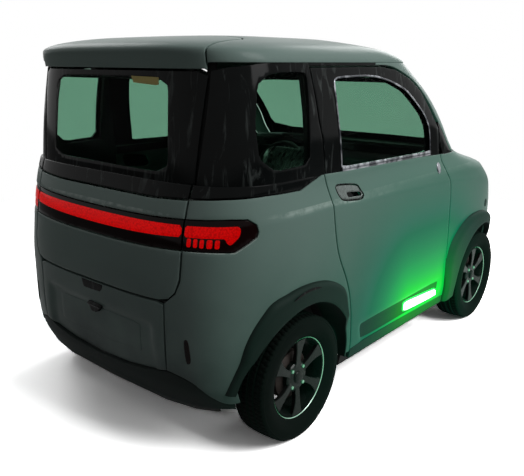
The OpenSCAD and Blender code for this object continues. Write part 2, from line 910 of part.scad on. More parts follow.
// Flare outline round one wheel, from the rear foot over the top to the front foot
flare_pts = [[-412, -30], [-409, 50], [-401, 120], [-378, 220], [-347, 310], [-295, 362], [-227, 394],
  [-150, 408], [-60, 413], [60, 411], [130, 398], [190, 368], [242, 312], [285, 235], [312, 120],
  [330, 20], [340, -30]];
flare_size = arch_r / 330;
module flare_face() {
  scale(flare_size) polygon(flare_pts);
}
module flare_at(x, side) {
  difference() {
    hull() {
      translate([x, 0, wheel_z]) side_cut(side, 560, flare_y - 22) flare_face();
      translate([x, 0, wheel_z])
        side_cut(side, 560, flare_y) offset(delta = -20) flare_face();
    }
    loft(LOWER, -seat_gap);
    arch(x, arch_r - 8, 200, 900);
    if (x > 0)
      side_cut(side, 300, 1000) door_outline(shut);
  }
}
module flares_left() {
  color(plastic) {
    flare_at(axle_x, 1);
    flare_at(-axle_x, 1);
  }
}
module flares_right() {
  color(plastic) {
    flare_at(axle_x, -1);
    flare_at(-axle_x, -1);
  }
}

column_x = 330;
column_y = 300;
column_z = 830;
column_tilt = 115;
dash_x = 330;
dash_w = 1130;
module dashboard() {
  color([0.13, 0.13, 0.14])
    difference() {
      translate([0, dash_w / 2, 0])
        rotate([90, 0, 0])
          linear_extrude(dash_w)
            polygon([[tub_front_x - plate - seat_gap, 560], [dash_x + 60, 620], [dash_x + 10, 760],
              [dash_x + 30, 900], [dash_x + 90, 955], [tub_front_x - plate - seat_gap, 955]]);
      translate([column_x, column_y, column_z])
        rotate([0, column_tilt, 0]) cylinder(r = 24, h = 130, $fn = 48);
    }
}
module steering_wheel() {
  color([0.06, 0.06, 0.07])
    translate([column_x, column_y, column_z])
      rotate([0, column_tilt, 0]) {
        translate([0, 0, -110]) {
          rotate_extrude($fn = 72) translate([steer_d / 2 - 14, 0]) circle(13, $fn = 24);
          cylinder(r = 62, h = 34, $fn = 48);
          for (a = [0, 180, 270])
            rotate(a) translate([40, -18, 4]) cube([steer_d / 2 - 60, 36, 14]);
        }
        translate([0, 0, -90]) cylinder(r = 18, h = 219.7, $fn = 48);
      }
}

module seat_pad(w, x0, depth, top, thick) {
  translate([x0, -w / 2, top - thick]) cube([depth, w, thick]);
}
module front_seats() {
  color([0.16, 0.16, 0.17])
    both_sides()
      translate([0, 300, 0]) {
        translate([0, seat_w / 2, 0])
          rotate([90, 0, 0])
            linear_extrude(seat_w)
              polygon([[60, seat_z - 110], [60, seat_z], [-330, seat_z - 40], [-480, 1150], [-540, 1150],
                [-470, seat_z - 110]]);
        translate([-400, -170, floor_z + plate + seat_gap])
          cube([380, 340, seat_z - 110 - floor_z - plate - seat_gap]);
      }
}
module rear_seat() {
  color([0.16, 0.16, 0.17])
    translate([0, 500, 0])
      rotate([90, 0, 0])
        linear_extrude(1000)
          polygon([[-620, raised_z + plate + seat_gap], [-620, 660], [-960, 620], [-1060, 1080],
            [-1120, 1080],
            [-1090, raised_z + plate + seat_gap]]);
}

tub();
battery();
motor();
rear_axle();
front_axle();
knuckle_left();
knuckle_right();
tyre_front_left();
tyre_front_right();
tyre_rear_left();
tyre_rear_right();
rim_front_left();
rim_front_right();
rim_rear_left();
rim_rear_right();
fender_left();
fender_right();
hood();
front_bumper();
front_grille();
headlamps();
cowl();
hinges();
windscreen();
roof();
window_frames();
quarter_glass();
quarter_left();
quarter_right();
rear_bumper();
plate_panel();
rear_valance();
reflectors();
tail_lamps();
spoiler();
tailgate();
rear_glass();
light_bar();
door_left();
door_right();
door_glass_left();
door_glass_right();
door_trim_left();
door_trim_right();
flares_left();
flares_right();
dashboard();
steering_wheel();
front_seats();
rear_seat();
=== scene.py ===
import math
import bpy
import numpy as np
from mathutils import Matrix, Vector
from mathutils.geometry import delaunay_2d_cdt


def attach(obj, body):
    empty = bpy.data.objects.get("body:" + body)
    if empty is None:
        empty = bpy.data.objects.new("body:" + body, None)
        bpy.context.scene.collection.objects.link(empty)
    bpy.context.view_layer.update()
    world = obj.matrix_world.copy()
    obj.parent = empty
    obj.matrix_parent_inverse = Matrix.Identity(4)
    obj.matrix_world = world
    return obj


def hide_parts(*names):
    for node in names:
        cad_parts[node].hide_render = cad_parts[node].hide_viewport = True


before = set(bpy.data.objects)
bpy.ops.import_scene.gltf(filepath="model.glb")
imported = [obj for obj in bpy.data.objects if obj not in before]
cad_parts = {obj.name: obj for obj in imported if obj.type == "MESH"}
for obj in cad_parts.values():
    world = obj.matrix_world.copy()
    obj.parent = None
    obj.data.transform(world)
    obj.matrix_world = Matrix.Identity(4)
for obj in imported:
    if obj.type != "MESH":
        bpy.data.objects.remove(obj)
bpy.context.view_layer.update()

# Camera. It stands behind the car and to its right, a little above the roof, and looks down
# at the rear corner. Its place, turn and lens were solved from points of known size; the focal
# length and the lens's middle are in pixels of the photograph.
yaw, pitch, roll = math.radians(41.302), math.radians(15.083), math.radians(0.242)
ahead = Vector((math.cos(yaw) * math.cos(pitch), math.sin(yaw) * math.cos(pitch), -math.sin(pitch)))
across = Vector((math.sin(yaw), -math.cos(yaw), 0))
upward = across.cross(ahead)
across, upward = (across * math.cos(roll) + upward * math.sin(roll),
                  upward * math.cos(roll) - across * math.sin(roll))
lens = bpy.data.cameras.new("view")
lens.sensor_width = 36
picture_wide, picture_high, focal, middle_across, middle_down = 524, 476, 641.07, 242.4, 233.4
lens.lens = lens.sensor_width * focal / picture_wide
lens.shift_x = (picture_wide / 2 - middle_across) / picture_wide
lens.shift_y = (middle_down - picture_high / 2) / picture_wide
camera = bpy.data.objects.new("view", lens)
camera.matrix_world = Matrix.Translation((-2.806, -2.077, 1.508)) @ Matrix(
    (across, upward, -ahead)).transposed().to_4x4()
bpy.context.collection.objects.link(camera)
bpy.context.scene.camera = camera
bpy.context.scene.view_settings.view_transform = "Standard"


# Floor and light. A plain pale floor runs off to white; four large soft lamps stand over the car,
# in front of it and at both of its sides, as in a studio.
def add(tree, kind, *values, **named):
    """Adds one node. Values go to its open inputs in order or by name, and a node given as a value
    means its first open output. A name with a small initial is a setting."""
    made = tree.nodes.new("ShaderNode" + kind)
    settings = [name for name in named if name[0].islower()]
    for name in settings:
        setattr(made, name, named.pop(name))
    sockets = [socket for socket in made.inputs if socket.enabled]
    by_name = {socket.name: socket for socket in reversed(sockets)}
    given = list(zip(sockets, values))
    given += [(by_name[name.replace("_", " ")], value) for name, value in named.items()]
    for socket, value in given:
        if isinstance(value, bpy.types.Node):
            value = next(socket for socket in value.outputs if socket.enabled)
        if isinstance(value, bpy.types.NodeSocket):
            tree.links.new(value, socket)
        else:
            socket.default_value = value
    return made


def colour(text):
    """sRGB hex to linear: c/12.92 below 0.04045, else ((c+0.055)/1.055)^2.4."""
    c = np.array([int(text[i:i + 2], 16) for i in (0, 2, 4)]) / 255
    return (*np.where(c < 0.04045, c / 12.92, ((c + 0.055) / 1.055) ** 2.4), 1.0)


def new_material(name):
    made = bpy.data.materials.new(name)
    made.use_nodes = True
    made.node_tree.nodes.clear()
    return made, made.node_tree


floor_paper, tree = new_material("matt_floor_paper")
rays = add(tree, "LightPath")
grain = add(tree, "TexNoise", add(tree, "TexCoord").outputs["Object"], Scale=3.0)
shade = add(tree, "Mix", grain, colour("f2f2f2"), colour("f6f6f6"), data_type="RGBA")
paper = add(tree, "BsdfDiffuse", shade)
double = add(tree, "AddShader", paper, paper)
fourfold = add(tree, "AddShader", double, double)
reach = add(tree, "VectorMath", add(tree, "TexCoord").outputs["Object"], operation="LENGTH")
outer = add(tree, "MapRange", reach, 2.2, 4.5)
lit = add(tree, "Emission", (1, 1, 1, 1), 1.0)
white = add(tree, "MixShader", outer, fourfold, lit)
dull = add(tree, "BsdfDiffuse", colour("7c7c7c"))
soft = add(tree, "MixShader", rays.outputs["Is Glossy Ray"], dull, paper)
seen = add(tree, "Math", rays.outputs["Is Camera Ray"], rays.outputs["Is Transmission Ray"],
    operation="MAXIMUM")
shown = add(tree, "MixShader", seen, soft, white)
add(tree, "OutputMaterial", shown)
floor_mesh = bpy.data.meshes.new("floor")
floor_mesh.from_pydata([(-40, -40, 0), (40, -40, 0), (40, 40, 0), (-40, 40, 0)], [], [(0, 1, 2, 3)])
floor_mesh.materials.append(floor_paper)
floor = bpy.data.objects.new("floor", floor_mesh)
bpy.context.collection.objects.link(floor)

world = bpy.data.worlds.new("studio")
bpy.context.scene.world = world
world.use_nodes = True
tree = world.node_tree
tree.nodes.clear()
rays = add(tree, "LightPath")
direct = add(tree, "Math", rays.outputs["Is Camera Ray"], rays.outputs["Is Transmission Ray"],
    operation="MAXIMUM")
white = add(tree, "Math", direct, rays.outputs["Is Glossy Ray"], operation="MAXIMUM")
level = add(tree, "MapRange", white, To_Min=0.16, To_Max=1.0)
ground = add(tree, "Background", (1, 1, 1, 1), level)
add(tree, "OutputWorld", ground)

for name, place, target, size, power in (
        ("side_lamp", (0.4, -5.0, 4.4), (0, 0, 0.6), 3.0, 230),
        ("roof_lamp", (0.6, 0.0, 6.0), (0.2, 0, 0.8), 4.0, 45),
        ("front_lamp", (5.2, 0.6, 3.6), (0, 0, 0.7), 3.0, 90),
        ("left_lamp", (0.2, 5.4, 4.4), (0, 0, 0.6), 3.0, 70)):
    lamp = bpy.data.lights.new(name, "AREA")
    lamp.shape, lamp.size, lamp.energy = "SQUARE", size, power
    held = bpy.data.objects.new(name, lamp)
    held.matrix_world = Matrix.Translation(place) @ (
        Vector(target) - Vector(place)).to_track_quat("-Z", "Y").to_matrix().to_4x4()
    bpy.context.collection.objects.link(held)


# Body form. The thin steel and plastic panels all lie on one smooth shape. It is given by level
# sections, each a rounded rectangle whose corners are super-ellipse quarters, |u|^n + |v|^n = 1.
# Columns: height, half width, foremost point, where the front corner starts, rearmost point,
# where the rear corner starts (mm), squareness of the front and the rear corners.
LOWER = np.array([
    [210, 688, 1275, 550, -1295, -750, 3.2, 3.8], [320, 703, 1335, 550, -1345, -750, 3.4, 3.8],
    [480, 710, 1360, 550, -1360, -750, 3.6, 3.8], [650, 712, 1348, 550, -1360, -750, 3.8, 3.8],
    [800, 712, 1300, 550, -1345, -750, 3.8, 3.8], [930, 709, 1130, 550, -1325, -750, 3.4, 3.8],
    [1050, 685, 700, 350, -1285, -750, 3.0, 4.3], [1100, 681, 640, 290, -1268, -750, 3.1, 4.3]])
UPPER = np.array([
    [1050, 678, 694, 350, -1268, -750, 3.0, 4.3], [1120, 675, 615, 262, -1262, -750, 3.2, 4.3],
    [1200, 671, 530, 175, -1255, -750, 3.5, 4.3], [1350, 655, 342, -15, -1240, -750, 4.2, 4.3],
    [1500, 627, 108, -235, -1224, -750, 4.5, 4.3]])
for table in (LOWER, UPPER):
    table[:, :6] /= 1000


def pchip(x, y, q):
    """Cubic Hermite curve through the points; each inner slope is the harmonic mean of its
    neighbours' slopes, or nought where they turn, so the curve never overshoots."""
    h, d = np.diff(x)[:, None], np.diff(y, axis=0) / np.diff(x)[:, None]
    same = d[:-1] * d[1:] > 0
    m = np.empty_like(y)
    m[1:-1] = np.where(same, 2 * d[:-1] * d[1:] / np.where(same, d[:-1] + d[1:], 1), 0)
    m[0], m[-1] = d[0], d[-1]
    q = np.clip(q, x[0], x[-1])
    i = np.clip(np.searchsorted(x, q, side="right") - 1, 0, len(x) - 2)
    t = ((q - x[i]) / h[i, 0])[:, None]
    return (y[i] * (1 + 2 * t) * (1 - t) ** 2 + m[i] * h[i] * t * (1 - t) ** 2
            + y[i + 1] * t * t * (3 - 2 * t) + m[i + 1] * h[i] * t * t * (t - 1))


def corner(phi, n):
    """Point of the unit super-ellipse in direction phi: (cos, sin) / (cos^n + sin^n)^(1/n)."""
    c, s = np.abs(np.cos(phi)), np.abs(np.sin(phi))
    r = (c ** n + s ** n) ** (-1 / n)
    return c * r, s * r


turn = np.linspace(0, math.pi / 2, 600)
SIDE_LONG = 1.30


def run_length(depth, width, n):
    """Distance run round a corner of the given depth and width, at each step of its angle."""
    u, v = corner(turn, n)
    return np.concatenate([[0], np.cumsum(np.hypot(np.diff(u * depth), np.diff(v * width)))])


rear_run, front_run = run_length(0.61, 0.712, 3.8), run_length(0.80, 0.712, 3.6)
REAR_LONG, FRONT_LONG = rear_run[-1], front_run[-1]
HALF_ROUND = REAR_LONG + SIDE_LONG + FRONT_LONG


def on_body(table, s, z):
    """Point of the body at height z and at the distance s round it from the middle of the rear;
    s is above nought on the right side and below on the left. A last column may give the
    height, where the first one is the distance up a roof."""
    s, z = np.atleast_1d(s).astype(float), np.atleast_1d(z).astype(float)
    w, xf, xfs, xr, xrs, nf, nr, *high = pchip(table[:, 0], table[:, 1:], z).T
    s = (s + HALF_ROUND) % (2 * HALF_ROUND) - HALF_ROUND
    a = np.abs(s)
    back = corner(np.interp(a, rear_run, turn), nr)
    fore = corner(np.interp(HALF_ROUND - a, front_run, turn), nf)
    f = np.clip((a - REAR_LONG) / SIDE_LONG, 0, 1)
    x = np.where(a < REAR_LONG, xrs + (xr - xrs) * back[0],
                 np.where(a > REAR_LONG + SIDE_LONG, xfs + (xf - xfs) * fore[0], xrs + (xfs - xrs) * f))
    y = w * np.where(a < REAR_LONG, back[1], np.where(a > REAR_LONG + SIDE_LONG, fore[1], 1))
    return np.stack([x, -np.sign(s) * y, high[0] if high else z], 1)


def round_at_x(table, points):
    """Turns side-view points (x, z) into (s, z): the corner's angle is found from x."""
    x, z = np.asarray(points, float).T
    w, xf, xfs, xr, xrs, nf, nr, *_ = pchip(table[:, 0], table[:, 1:], z).T
    ub = np.clip((xrs - x) / (xrs - xr), 0, 1)
    uf = np.clip((x - xfs) / (xf - xfs), 0, 1)
    sb = np.interp(np.arctan2((1 - ub ** nr) ** (1 / nr), ub), turn, rear_run)
    sf = HALF_ROUND - np.interp(np.arctan2((1 - uf ** nf) ** (1 / nf), uf), turn, front_run)
    return np.stack([np.where(x < xrs, sb, np.where(x > xfs, sf,
        REAR_LONG + SIDE_LONG * (x - xrs) / (xfs - xrs))), z], 1)


def round_at_y(table, points, fore=False):
    """Turns end-view points (y, z) into (s, z): the corner's angle is found from y. At the front
    s runs on past the middle, so that an outline may cross it."""
    y, z = np.asarray(points, float).T
    w, xf, xfs, xr, xrs, nf, nr, *_ = pchip(table[:, 0], table[:, 1:], z).T
    v = np.clip(np.abs(y) / w, 0, 1)
    n = nf if fore else nr
    phi = np.arctan2(v, (1 - v ** n) ** (1 / n))
    if fore:
        return np.stack([HALF_ROUND + np.sign(y) * np.interp(phi, turn, front_run), z], 1)
    return np.stack([-np.sign(y) * np.interp(phi, turn, rear_run), z], 1)


def fine(loop, pitch):
    """Closed outline cut into equal steps of about pitch, corners kept."""
    loop = np.asarray(loop, float)
    out = []
    for a, b in zip(loop, np.roll(loop, -1, 0)):
        n = max(1, int(round(np.hypot(*(b - a)) / pitch)))
        out.append(a + (b - a) * np.arange(n)[:, None] / n)
    return np.concatenate(out)


def eased(loop, times=2, cut=0.25):
    """Rounds a closed outline: each corner is cut at a quarter of its sides, more than once."""
    loop = np.asarray(loop, float)
    for _ in range(times):
        after = np.roll(loop, -1, 0)
        loop = np.stack([loop * (1 - cut) + after * cut, loop * cut + after * (1 - cut)], 1).reshape(-1, 2)
    return loop


def grown(loop, by):
    """Moves a closed outline outwards along its own normals."""
    loop = np.asarray(loop, float)
    area = np.sum(loop[:, 0] * np.roll(loop[:, 1], -1) - loop[:, 1] * np.roll(loop[:, 0], -1))
    t = np.roll(loop, -1, 0) - np.roll(loop, 1, 0)
    t /= np.maximum(np.hypot(*t.T), 1e-9)[:, None]
    return loop + np.stack([t[:, 1], -t[:, 0]], 1) * by * np.sign(area)


def inside(points, loops):
    """Even-odd rule: a point is inside where a level ray from it crosses the outlines an odd
    number of times."""
    hit = np.zeros(len(points), bool)
    for loop in loops:
        ax, ay = loop.T
        bx, by = np.roll(loop, -1, 0).T
        px, py = points[:, :1], points[:, 1:]
        cross = (ay > py) != (by > py)
        with np.errstate(divide="ignore", invalid="ignore"):
            at = ax + (py - ay) * (bx - ax) / (by - ay)
        hit ^= (np.sum(cross & (px < at), 1) % 2).astype(bool)
    return hit


def make_object(name, verts, faces, material, body, replaces=(), sharp=40):
    """Puts points and faces into a mesh object that rides on a body."""
    mesh = bpy.data.meshes.new(name)
    mesh.from_pydata(np.asarray(verts).tolist(), [], [list(f) for f in faces])
    mesh.validate()
    mesh.polygons.foreach_set("use_smooth", np.ones(len(mesh.polygons), bool))
    mesh.set_sharp_from_angle(angle=math.radians(sharp))
    mesh.materials.append(material)
    made = bpy.data.objects.new(name, mesh)
    bpy.context.collection.objects.link(made)
    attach(made, body)
    if replaces:
        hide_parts(*replaces)
    return made


def sheet_mesh(surface, outline, holes=(), pitch=0.014):
    """Meshes the part of surface(a, b) inside the outline and outside the holes: points on a
    net of the given pitch, joined by Delaunay triangles that keep the edges."""
    loops = [fine(outline, pitch)] + [fine(h, pitch) for h in holes]
    low, high = loops[0].min(0), loops[0].max(0)
    ga, gb = np.meshgrid(np.arange(low[0], high[0], pitch), np.arange(low[1], high[1], pitch * 0.9))
    ga[1::2] += pitch / 2
    net = np.stack([ga.ravel(), gb.ravel()], 1)
    kept = lambda p: inside(p, loops[:1]) & ~np.any([inside(p, [h]) for h in loops[1:]] or [np.zeros(len(p),
        bool)], 0)
    net = net[kept(net)]
    edge = np.concatenate(loops)
    near = np.min([np.min(np.hypot(net[:, :1] - e[:, 0], net[:, 1:] - e[:, 1]), 1)
                   for e in np.array_split(edge, max(1, len(edge) // 300))], 0)
    net = net[near > pitch * 0.6]
    pairs, start = [], 0
    for loop in loops:
        i = np.arange(len(loop)) + start
        pairs += list(zip(i.tolist(), np.roll(i, -1).tolist()))
        start += len(loop)
    flat, _, tris, *_ = delaunay_2d_cdt([Vector(p) for p in np.concatenate([edge, net])], pairs, [], 0, 1e-7)
    flat = np.array([tuple(p) for p in flat])
    tris = np.array([tuple(t) for t in tris])
    tris = tris[kept(flat[tris].mean(1))]
    points = surface(flat[:, 0], flat[:, 1])
    e = 0.002
    normal = np.cross(surface(flat[:, 0] + e, flat[:, 1]) - surface(flat[:, 0] - e, flat[:, 1]),
                      surface(flat[:, 0], flat[:, 1] + e) - surface(flat[:, 0], flat[:, 1] - e))
    normal /= np.maximum(np.linalg.norm(normal, axis=1), 1e-12)[:, None]
    return points, tris, normal


def panel(name, surface, outline, material, body, holes=(), pitch=0.014, lift=0.0, depth=0.014, edge=0.0025,
          replaces=()):
    """Panel with rolled edges: the sheet, a quarter round of radius edge along every border, a
    wall of the given depth and the same sheet again inside."""
    points, tris, normal = sheet_mesh(surface, outline, holes, pitch)
    if (np.cross(points[tris[:, 1]] - points[tris[:, 0]], points[tris[:, 2]] - points[tris[:, 0]])
            * normal[tris[:, 0]]).sum() < 0:
        tris = tris[:, ::-1]
    points = points + normal * lift
    sides = np.concatenate([tris[:, [0, 1]], tris[:, [1, 2]], tris[:, [2, 0]]])
    key = sides[:, 0] * len(points) + sides[:, 1]
    back = sides[:, 1] * len(points) + sides[:, 0]
    rim = sides[~np.isin(key, back)]
    after = np.full(len(points), -1)
    before = after.copy()
    after[rim[:, 0]], before[rim[:, 1]] = rim[:, 1], rim[:, 0]
    ring = rim[:, 0]
    tangent = points[after[ring]] - points[before[ring]]
    out = np.cross(tangent, normal[ring])
    out /= np.maximum(np.linalg.norm(out, axis=1), 1e-12)[:, None]
    base, down = points[ring] - out * edge, normal[ring]
    points[ring] = base
    layers = [base + out * edge * math.sin(t) - down * edge * (1 - math.cos(t))
              for t in (math.pi / 6, math.pi / 3, math.pi / 2)]
    layers.append(base + out * edge - down * depth)
    verts = [points, *layers]
    count = len(points)
    slot_of = np.full(count, -1)
    slot_of[ring] = np.arange(len(ring))
    nxt = slot_of[after[ring]]
    here = ring
    faces = [tuple(t) for t in tris.tolist()]
    there = after[ring]
    for k in range(4):
        low = count + k * len(ring) + np.arange(len(ring))
        low_next = count + k * len(ring) + nxt
        faces += list(zip(here.tolist(), low.tolist(), low_next.tolist(), there.tolist()))
        here, there = low, low_next
    inner = points - normal * depth
    start = count + 4 * len(ring)
    verts.append(inner)
    swap = np.arange(count) + start
    swap[ring] = count + 3 * len(ring) + np.arange(len(ring))
    faces += [tuple(t) for t in swap[tris[:, ::-1]].tolist()]
    verts = np.concatenate(verts)
    used = np.zeros(len(verts), bool)
    flat_faces = np.concatenate([np.asarray(f) for f in faces])
    used[flat_faces] = True
    renumber = np.cumsum(used) - 1
    faces = [tuple(renumber[list(f)].tolist()) for f in faces]
    return make_object(name, verts[used], faces, material, body, replaces)


# Painted body panels: pressed steel and moulded plastic skins under grey two-coat paint with a
# faint green cast and a fine flake. Low down the paint is darker in dusty patches, painted shade
# with some road dust; a pale painted highlight lies along the feature line, and round the lit
# strips in the doors the paint is painted dark green under a painted green glow.
def led_glow(tree, place, strength, most=10.0, blue=0.56):
    """Painted glow: the green light of the lit strip in each door, given as emission of the surfaces
    round it. With the distance d from the strip it is 1.0 * exp(-d / 0.12) + 0.24 * exp(-d / 0.45),
    and it turns bluer as it fades."""
    folded = add(tree, "VectorMath", place, operation="ABSOLUTE")
    across_y = add(tree, "SeparateXYZ", folded).outputs["Y"]
    along = add(tree, "SeparateXYZ", place)
    reach = add(tree, "Clamp", along.outputs["X"], 0.02, 0.34)
    near = add(tree, "CombineXYZ", reach, 0.715, 0.315)
    here = add(tree, "CombineXYZ", along.outputs["X"], across_y, along.outputs["Z"])
    gap = add(tree, "VectorMath", here, near, operation="DISTANCE").outputs["Value"]
    fade = [add(tree, "Math", add(tree, "Math", gap, rate, operation="MULTIPLY"), operation="EXPONENT")
            for rate in (-8.3, -2.2)]
    outside = add(tree, "MapRange", across_y, 0.50, 0.69)
    wide = add(tree, "Math", fade[1], 0.24, operation="MULTIPLY")
    both = add(tree, "Math", fade[0], 1.0, wide, operation="MULTIPLY_ADD")
    power = add(tree, "Math", both, outside, operation="MULTIPLY")
    facing = add(tree, "SeparateXYZ", add(tree, "TexCoord").outputs["Normal"]).outputs["Y"]
    sign = add(tree, "Math", along.outputs["Y"], operation="SIGN")
    turned = add(tree, "Math", facing, sign, operation="MULTIPLY")
    front = add(tree, "MapRange", turned, -0.1, 0.5, To_Max=strength)
    lit = add(tree, "Math", power, front, operation="MULTIPLY")
    scaled = add(tree, "Math", lit, most, operation="MINIMUM")
    hue = add(tree, "MapRange", gap, 0.08, 0.45)
    tint = add(tree, "Mix", hue, (0.0, 1.0, 0.06, 1), (0.0, 1.0, blue, 1), data_type="RGBA")
    return tint.outputs[2], scaled.outputs[0]


body_paint, tree = new_material("grey_clearcoat_paint")
place = add(tree, "TexCoord").outputs["Object"]
flake = add(tree, "TexNoise", place, Scale=900.0, Detail=2.0)
dust_and_shade_noise = add(tree, "TexNoise", place, Scale=3.0, Detail=5.0)
height = add(tree, "SeparateXYZ", place).outputs["Z"]
# Darker towards the bottom, in patches of a noise: painted shade with some road dust.
low = add(tree, "MapRange", height, 0.30, 0.95, 1.3, 0.0)
low_shade_and_dust = add(tree, "Math", low, dust_and_shade_noise, operation="MULTIPLY", use_clamp=True)
tone = add(tree, "Mix", flake, colour("65756f"), colour("738480"), data_type="RGBA")
tinted = add(tree, "Mix", low_shade_and_dust, tone, colour("33393a"), data_type="RGBA")
# Painted highlight: where the skin faces partly upward in a band at the height of the feature line, it is
# lightened in broken streaks towards pale grey; forward it fades out between 0.5 and 0.7 m ahead of the
# middle.
facing_up = add(tree, "SeparateXYZ", add(tree, "TexCoord").outputs["Normal"]).outputs["Z"]
shoulder = add(tree, "MapRange", facing_up, 0.20, 0.38, To_Max=0.8)
highlight_breakup = add(tree, "TexNoise", place, Scale=22.0, Detail=5.0, Roughness=0.7)
highlight_streaks = add(tree, "MapRange", highlight_breakup, 0.38, 0.58)
above = add(tree, "Math", height, 0.85, operation="GREATER_THAN")
below = add(tree, "Math", height, 0.975, operation="LESS_THAN")
belt = add(tree, "Math", above, below, operation="MULTIPLY")
forward = add(tree, "SeparateXYZ", place).outputs["X"]
behind = add(tree, "MapRange", forward, 0.70, 0.50)
shoulder = add(tree, "Math", shoulder, behind, operation="MULTIPLY")
painted_crease_highlight = add(tree, "Math", shoulder, highlight_streaks, operation="MULTIPLY")
painted_crease_highlight = add(tree, "Math", painted_crease_highlight, belt, operation="MULTIPLY")
tinted = add(tree, "Mix", painted_crease_highlight, tinted, colour("b4c0ba"), data_type="RGBA")
rough = add(tree, "MapRange", dust_and_shade_noise, To_Min=0.26, To_Max=0.40)
ripple = add(tree, "TexNoise", place, Scale=160.0, Detail=1.0)
bump = add(tree, "Bump", Height=ripple, Strength=0.015, Distance=0.002)
# Painted glow: round the lit strip in each door the paint is given green emission, and its own colour is
# painted dark green where that glow is strong.
glow, glow_level = led_glow(tree, place, 1.0)
painted_glow_darkening = add(tree, "Math", glow_level, 7.0, operation="MULTIPLY", use_clamp=True)
final = add(tree, "Mix", painted_glow_darkening, tinted, colour("00100a"), data_type="RGBA")
coat = add(tree, "BsdfPrincipled", Base_Color=final, Roughness=rough, Normal=bump,
    Coat_Weight=0.05, Coat_Roughness=0.03, Specular_IOR_Level=0.05, Emission_Color=glow,
    Emission_Strength=glow_level)
add(tree, "OutputMaterial", coat)

gloss_trim, tree = new_material("gloss_black_moulding")
place = add(tree, "TexCoord").outputs["Object"]
haze = add(tree, "TexNoise", place, Scale=14.0, Detail=6.0)
rough = add(tree, "MapRange", haze, To_Min=0.06, To_Max=0.16)
# Pale upright streaks mixed into the black colour: painted reflections.
upright = add(tree, "Mapping", place, Scale=(16.0, 16.0, 2.6))
smear = add(tree, "TexNoise", upright, Scale=1.5, Detail=5.0, Roughness=0.6, Distortion=1.2)
painted_streak_reflection = add(tree, "MapRange", smear, 0.56, 0.80, To_Max=0.40)
tone = add(tree, "Mix", haze, colour("060808"), colour("0d1010"), data_type="RGBA")
with_painted_streaks = add(tree, "Mix", painted_streak_reflection, tone, colour("767e7c"), data_type="RGBA")
coat = add(tree, "BsdfPrincipled", Base_Color=with_painted_streaks, Roughness=rough, Specular_IOR_Level=0.05)
add(tree, "OutputMaterial", coat)


def mottled(name, size, dark, light, low, high, bump=(), pores=None, spill=0.0, **finish):
    """Finish whose colour goes from dark to light and its roughness from low to high with one
    texture of the given scale and detail, or with cells where the detail is nought. The bump,
    (strength, depth), follows that texture or finer pores; spill is the strength of the painted
    green glow of the strip in the door on it."""
    made, tree = new_material(name)
    place = add(tree, "TexCoord").outputs["Object"]
    pattern = lambda scale, detail: add(
        tree, "TexNoise" if detail else "TexVoronoi", place, Scale=scale, Detail=detail)
    cloud = pattern(*size)
    finish["Base_Color"] = add(tree, "Mix", cloud, colour(dark), colour(light), data_type="RGBA")
    finish["Roughness"] = add(tree, "MapRange", cloud, To_Min=low, To_Max=high)
    if bump:
        height = pattern(*pores) if pores else cloud
        finish["Normal"] = add(tree, "Bump", Height=height, Strength=bump[0], Distance=bump[1])
    if spill:
        finish["Emission_Color"], finish["Emission_Strength"] = led_glow(tree, place, spill)
    add(tree, "OutputMaterial", add(tree, "BsdfPrincipled", **finish))
    return made


# The grained plastic carries the painted green glow of the door strips, as emission.
grain_trim = mottled("grained_dark_plastic", (9.0, 6.0), "121716", "1e2523", 0.48, 0.66, (0.25, 0.0006),
                     (700.0, 0.0), 0.30, Specular_IOR_Level=0.06)

# Lower body panels. Their shut lines are given in side view, in millimetres: the door's rear edge
# from the sill up, its front edge from the waist down, and the painted edge under the windows.
GAP = 0.006
SILL = 0.250


def mm(*points):
    """Points given in millimetres, in metres."""
    return np.array(points) / 1000


door_rear = mm((-500, 250), (-508, 330), (-532, 500), (-572, 610), (-648, 735), (-674, 821), (-691, 910),
    (-704, 987), (-722, 1050), (-730, 1080))
door_front = mm((300, 1052), (303, 1024), (351, 952), (396, 902), (411, 789), (413, 723), (424, 577),
    (430, 430), (448, 313), (453, 250))
ARCH_R, AXLE_X, HUB_Z = 0.328, 0.875, 0.265


def bow(points, times=3):
    """Open line rounded by cutting its inner corners, ends kept."""
    points = np.asarray(points, float)
    for _ in range(times):
        a, b = points[:-1], points[1:]
        mid = np.stack([a * 0.75 + b * 0.25, a * 0.25 + b * 0.75], 1).reshape(-1, 2)
        points = np.concatenate([points[:1], mid[1:-1], points[-1:]])
    return points


def shifted(points, by):
    """Open line moved sideways, to its left where by is above nought."""
    points = np.asarray(points, float)
    t = np.gradient(points, axis=0)
    t /= np.hypot(*t.T)[:, None]
    return points + np.stack([-t[:, 1], t[:, 0]], 1) * by


def arch_line(x, start, end):
    """Arc of the wheel opening between two angles, in degrees from straight ahead."""
    a = np.radians(np.linspace(start, end, 40))
    return np.stack([x + ARCH_R * np.cos(a), HUB_Z + ARCH_R * np.sin(a)], 1)


def joined(*runs):
    return np.concatenate([np.asarray(r, float) for r in runs])


crease = mm((-1300, 962), (-1116, 951), (-900, 950), (-735, 955), (-496, 935), (150, 918), (391, 907),
    (867, 865), (1200, 830))


def lower_skin(s, z):
    """The lower body with its sharp feature line: along each side the skin swells by up to 4 mm
    towards the line from below and falls back steeply above it."""
    p = on_body(LOWER, s, z)
    above = p[:, 2] - np.interp(p[:, 0], crease[:, 0], crease[:, 1])
    swell = np.where(above > 0, np.exp(-above / 0.012), np.exp(above / 0.060))
    flank = np.clip((p[:, 0] + 1.20) / 0.25, 0, 1) * np.clip((0.95 - p[:, 0]) / 0.3, 0, 1)
    p[:, 1] += np.sign(p[:, 1]) * 0.004 * swell * flank
    edge = 1 / (1 + np.exp((np.abs(p[:, 0] + 0.03) - 0.405 + 0.4 * np.clip(0.330 - z, 0, 0.1)) / 0.006))
    rise = 1 / (1 + np.exp((np.abs(z - 0.319) - 0.047) / 0.004))
    p[:, 1] -= np.sign(p[:, 1]) * 0.009 * edge * rise
    return p


def upper_skin(s, z):
    return on_body(UPPER, s, z)


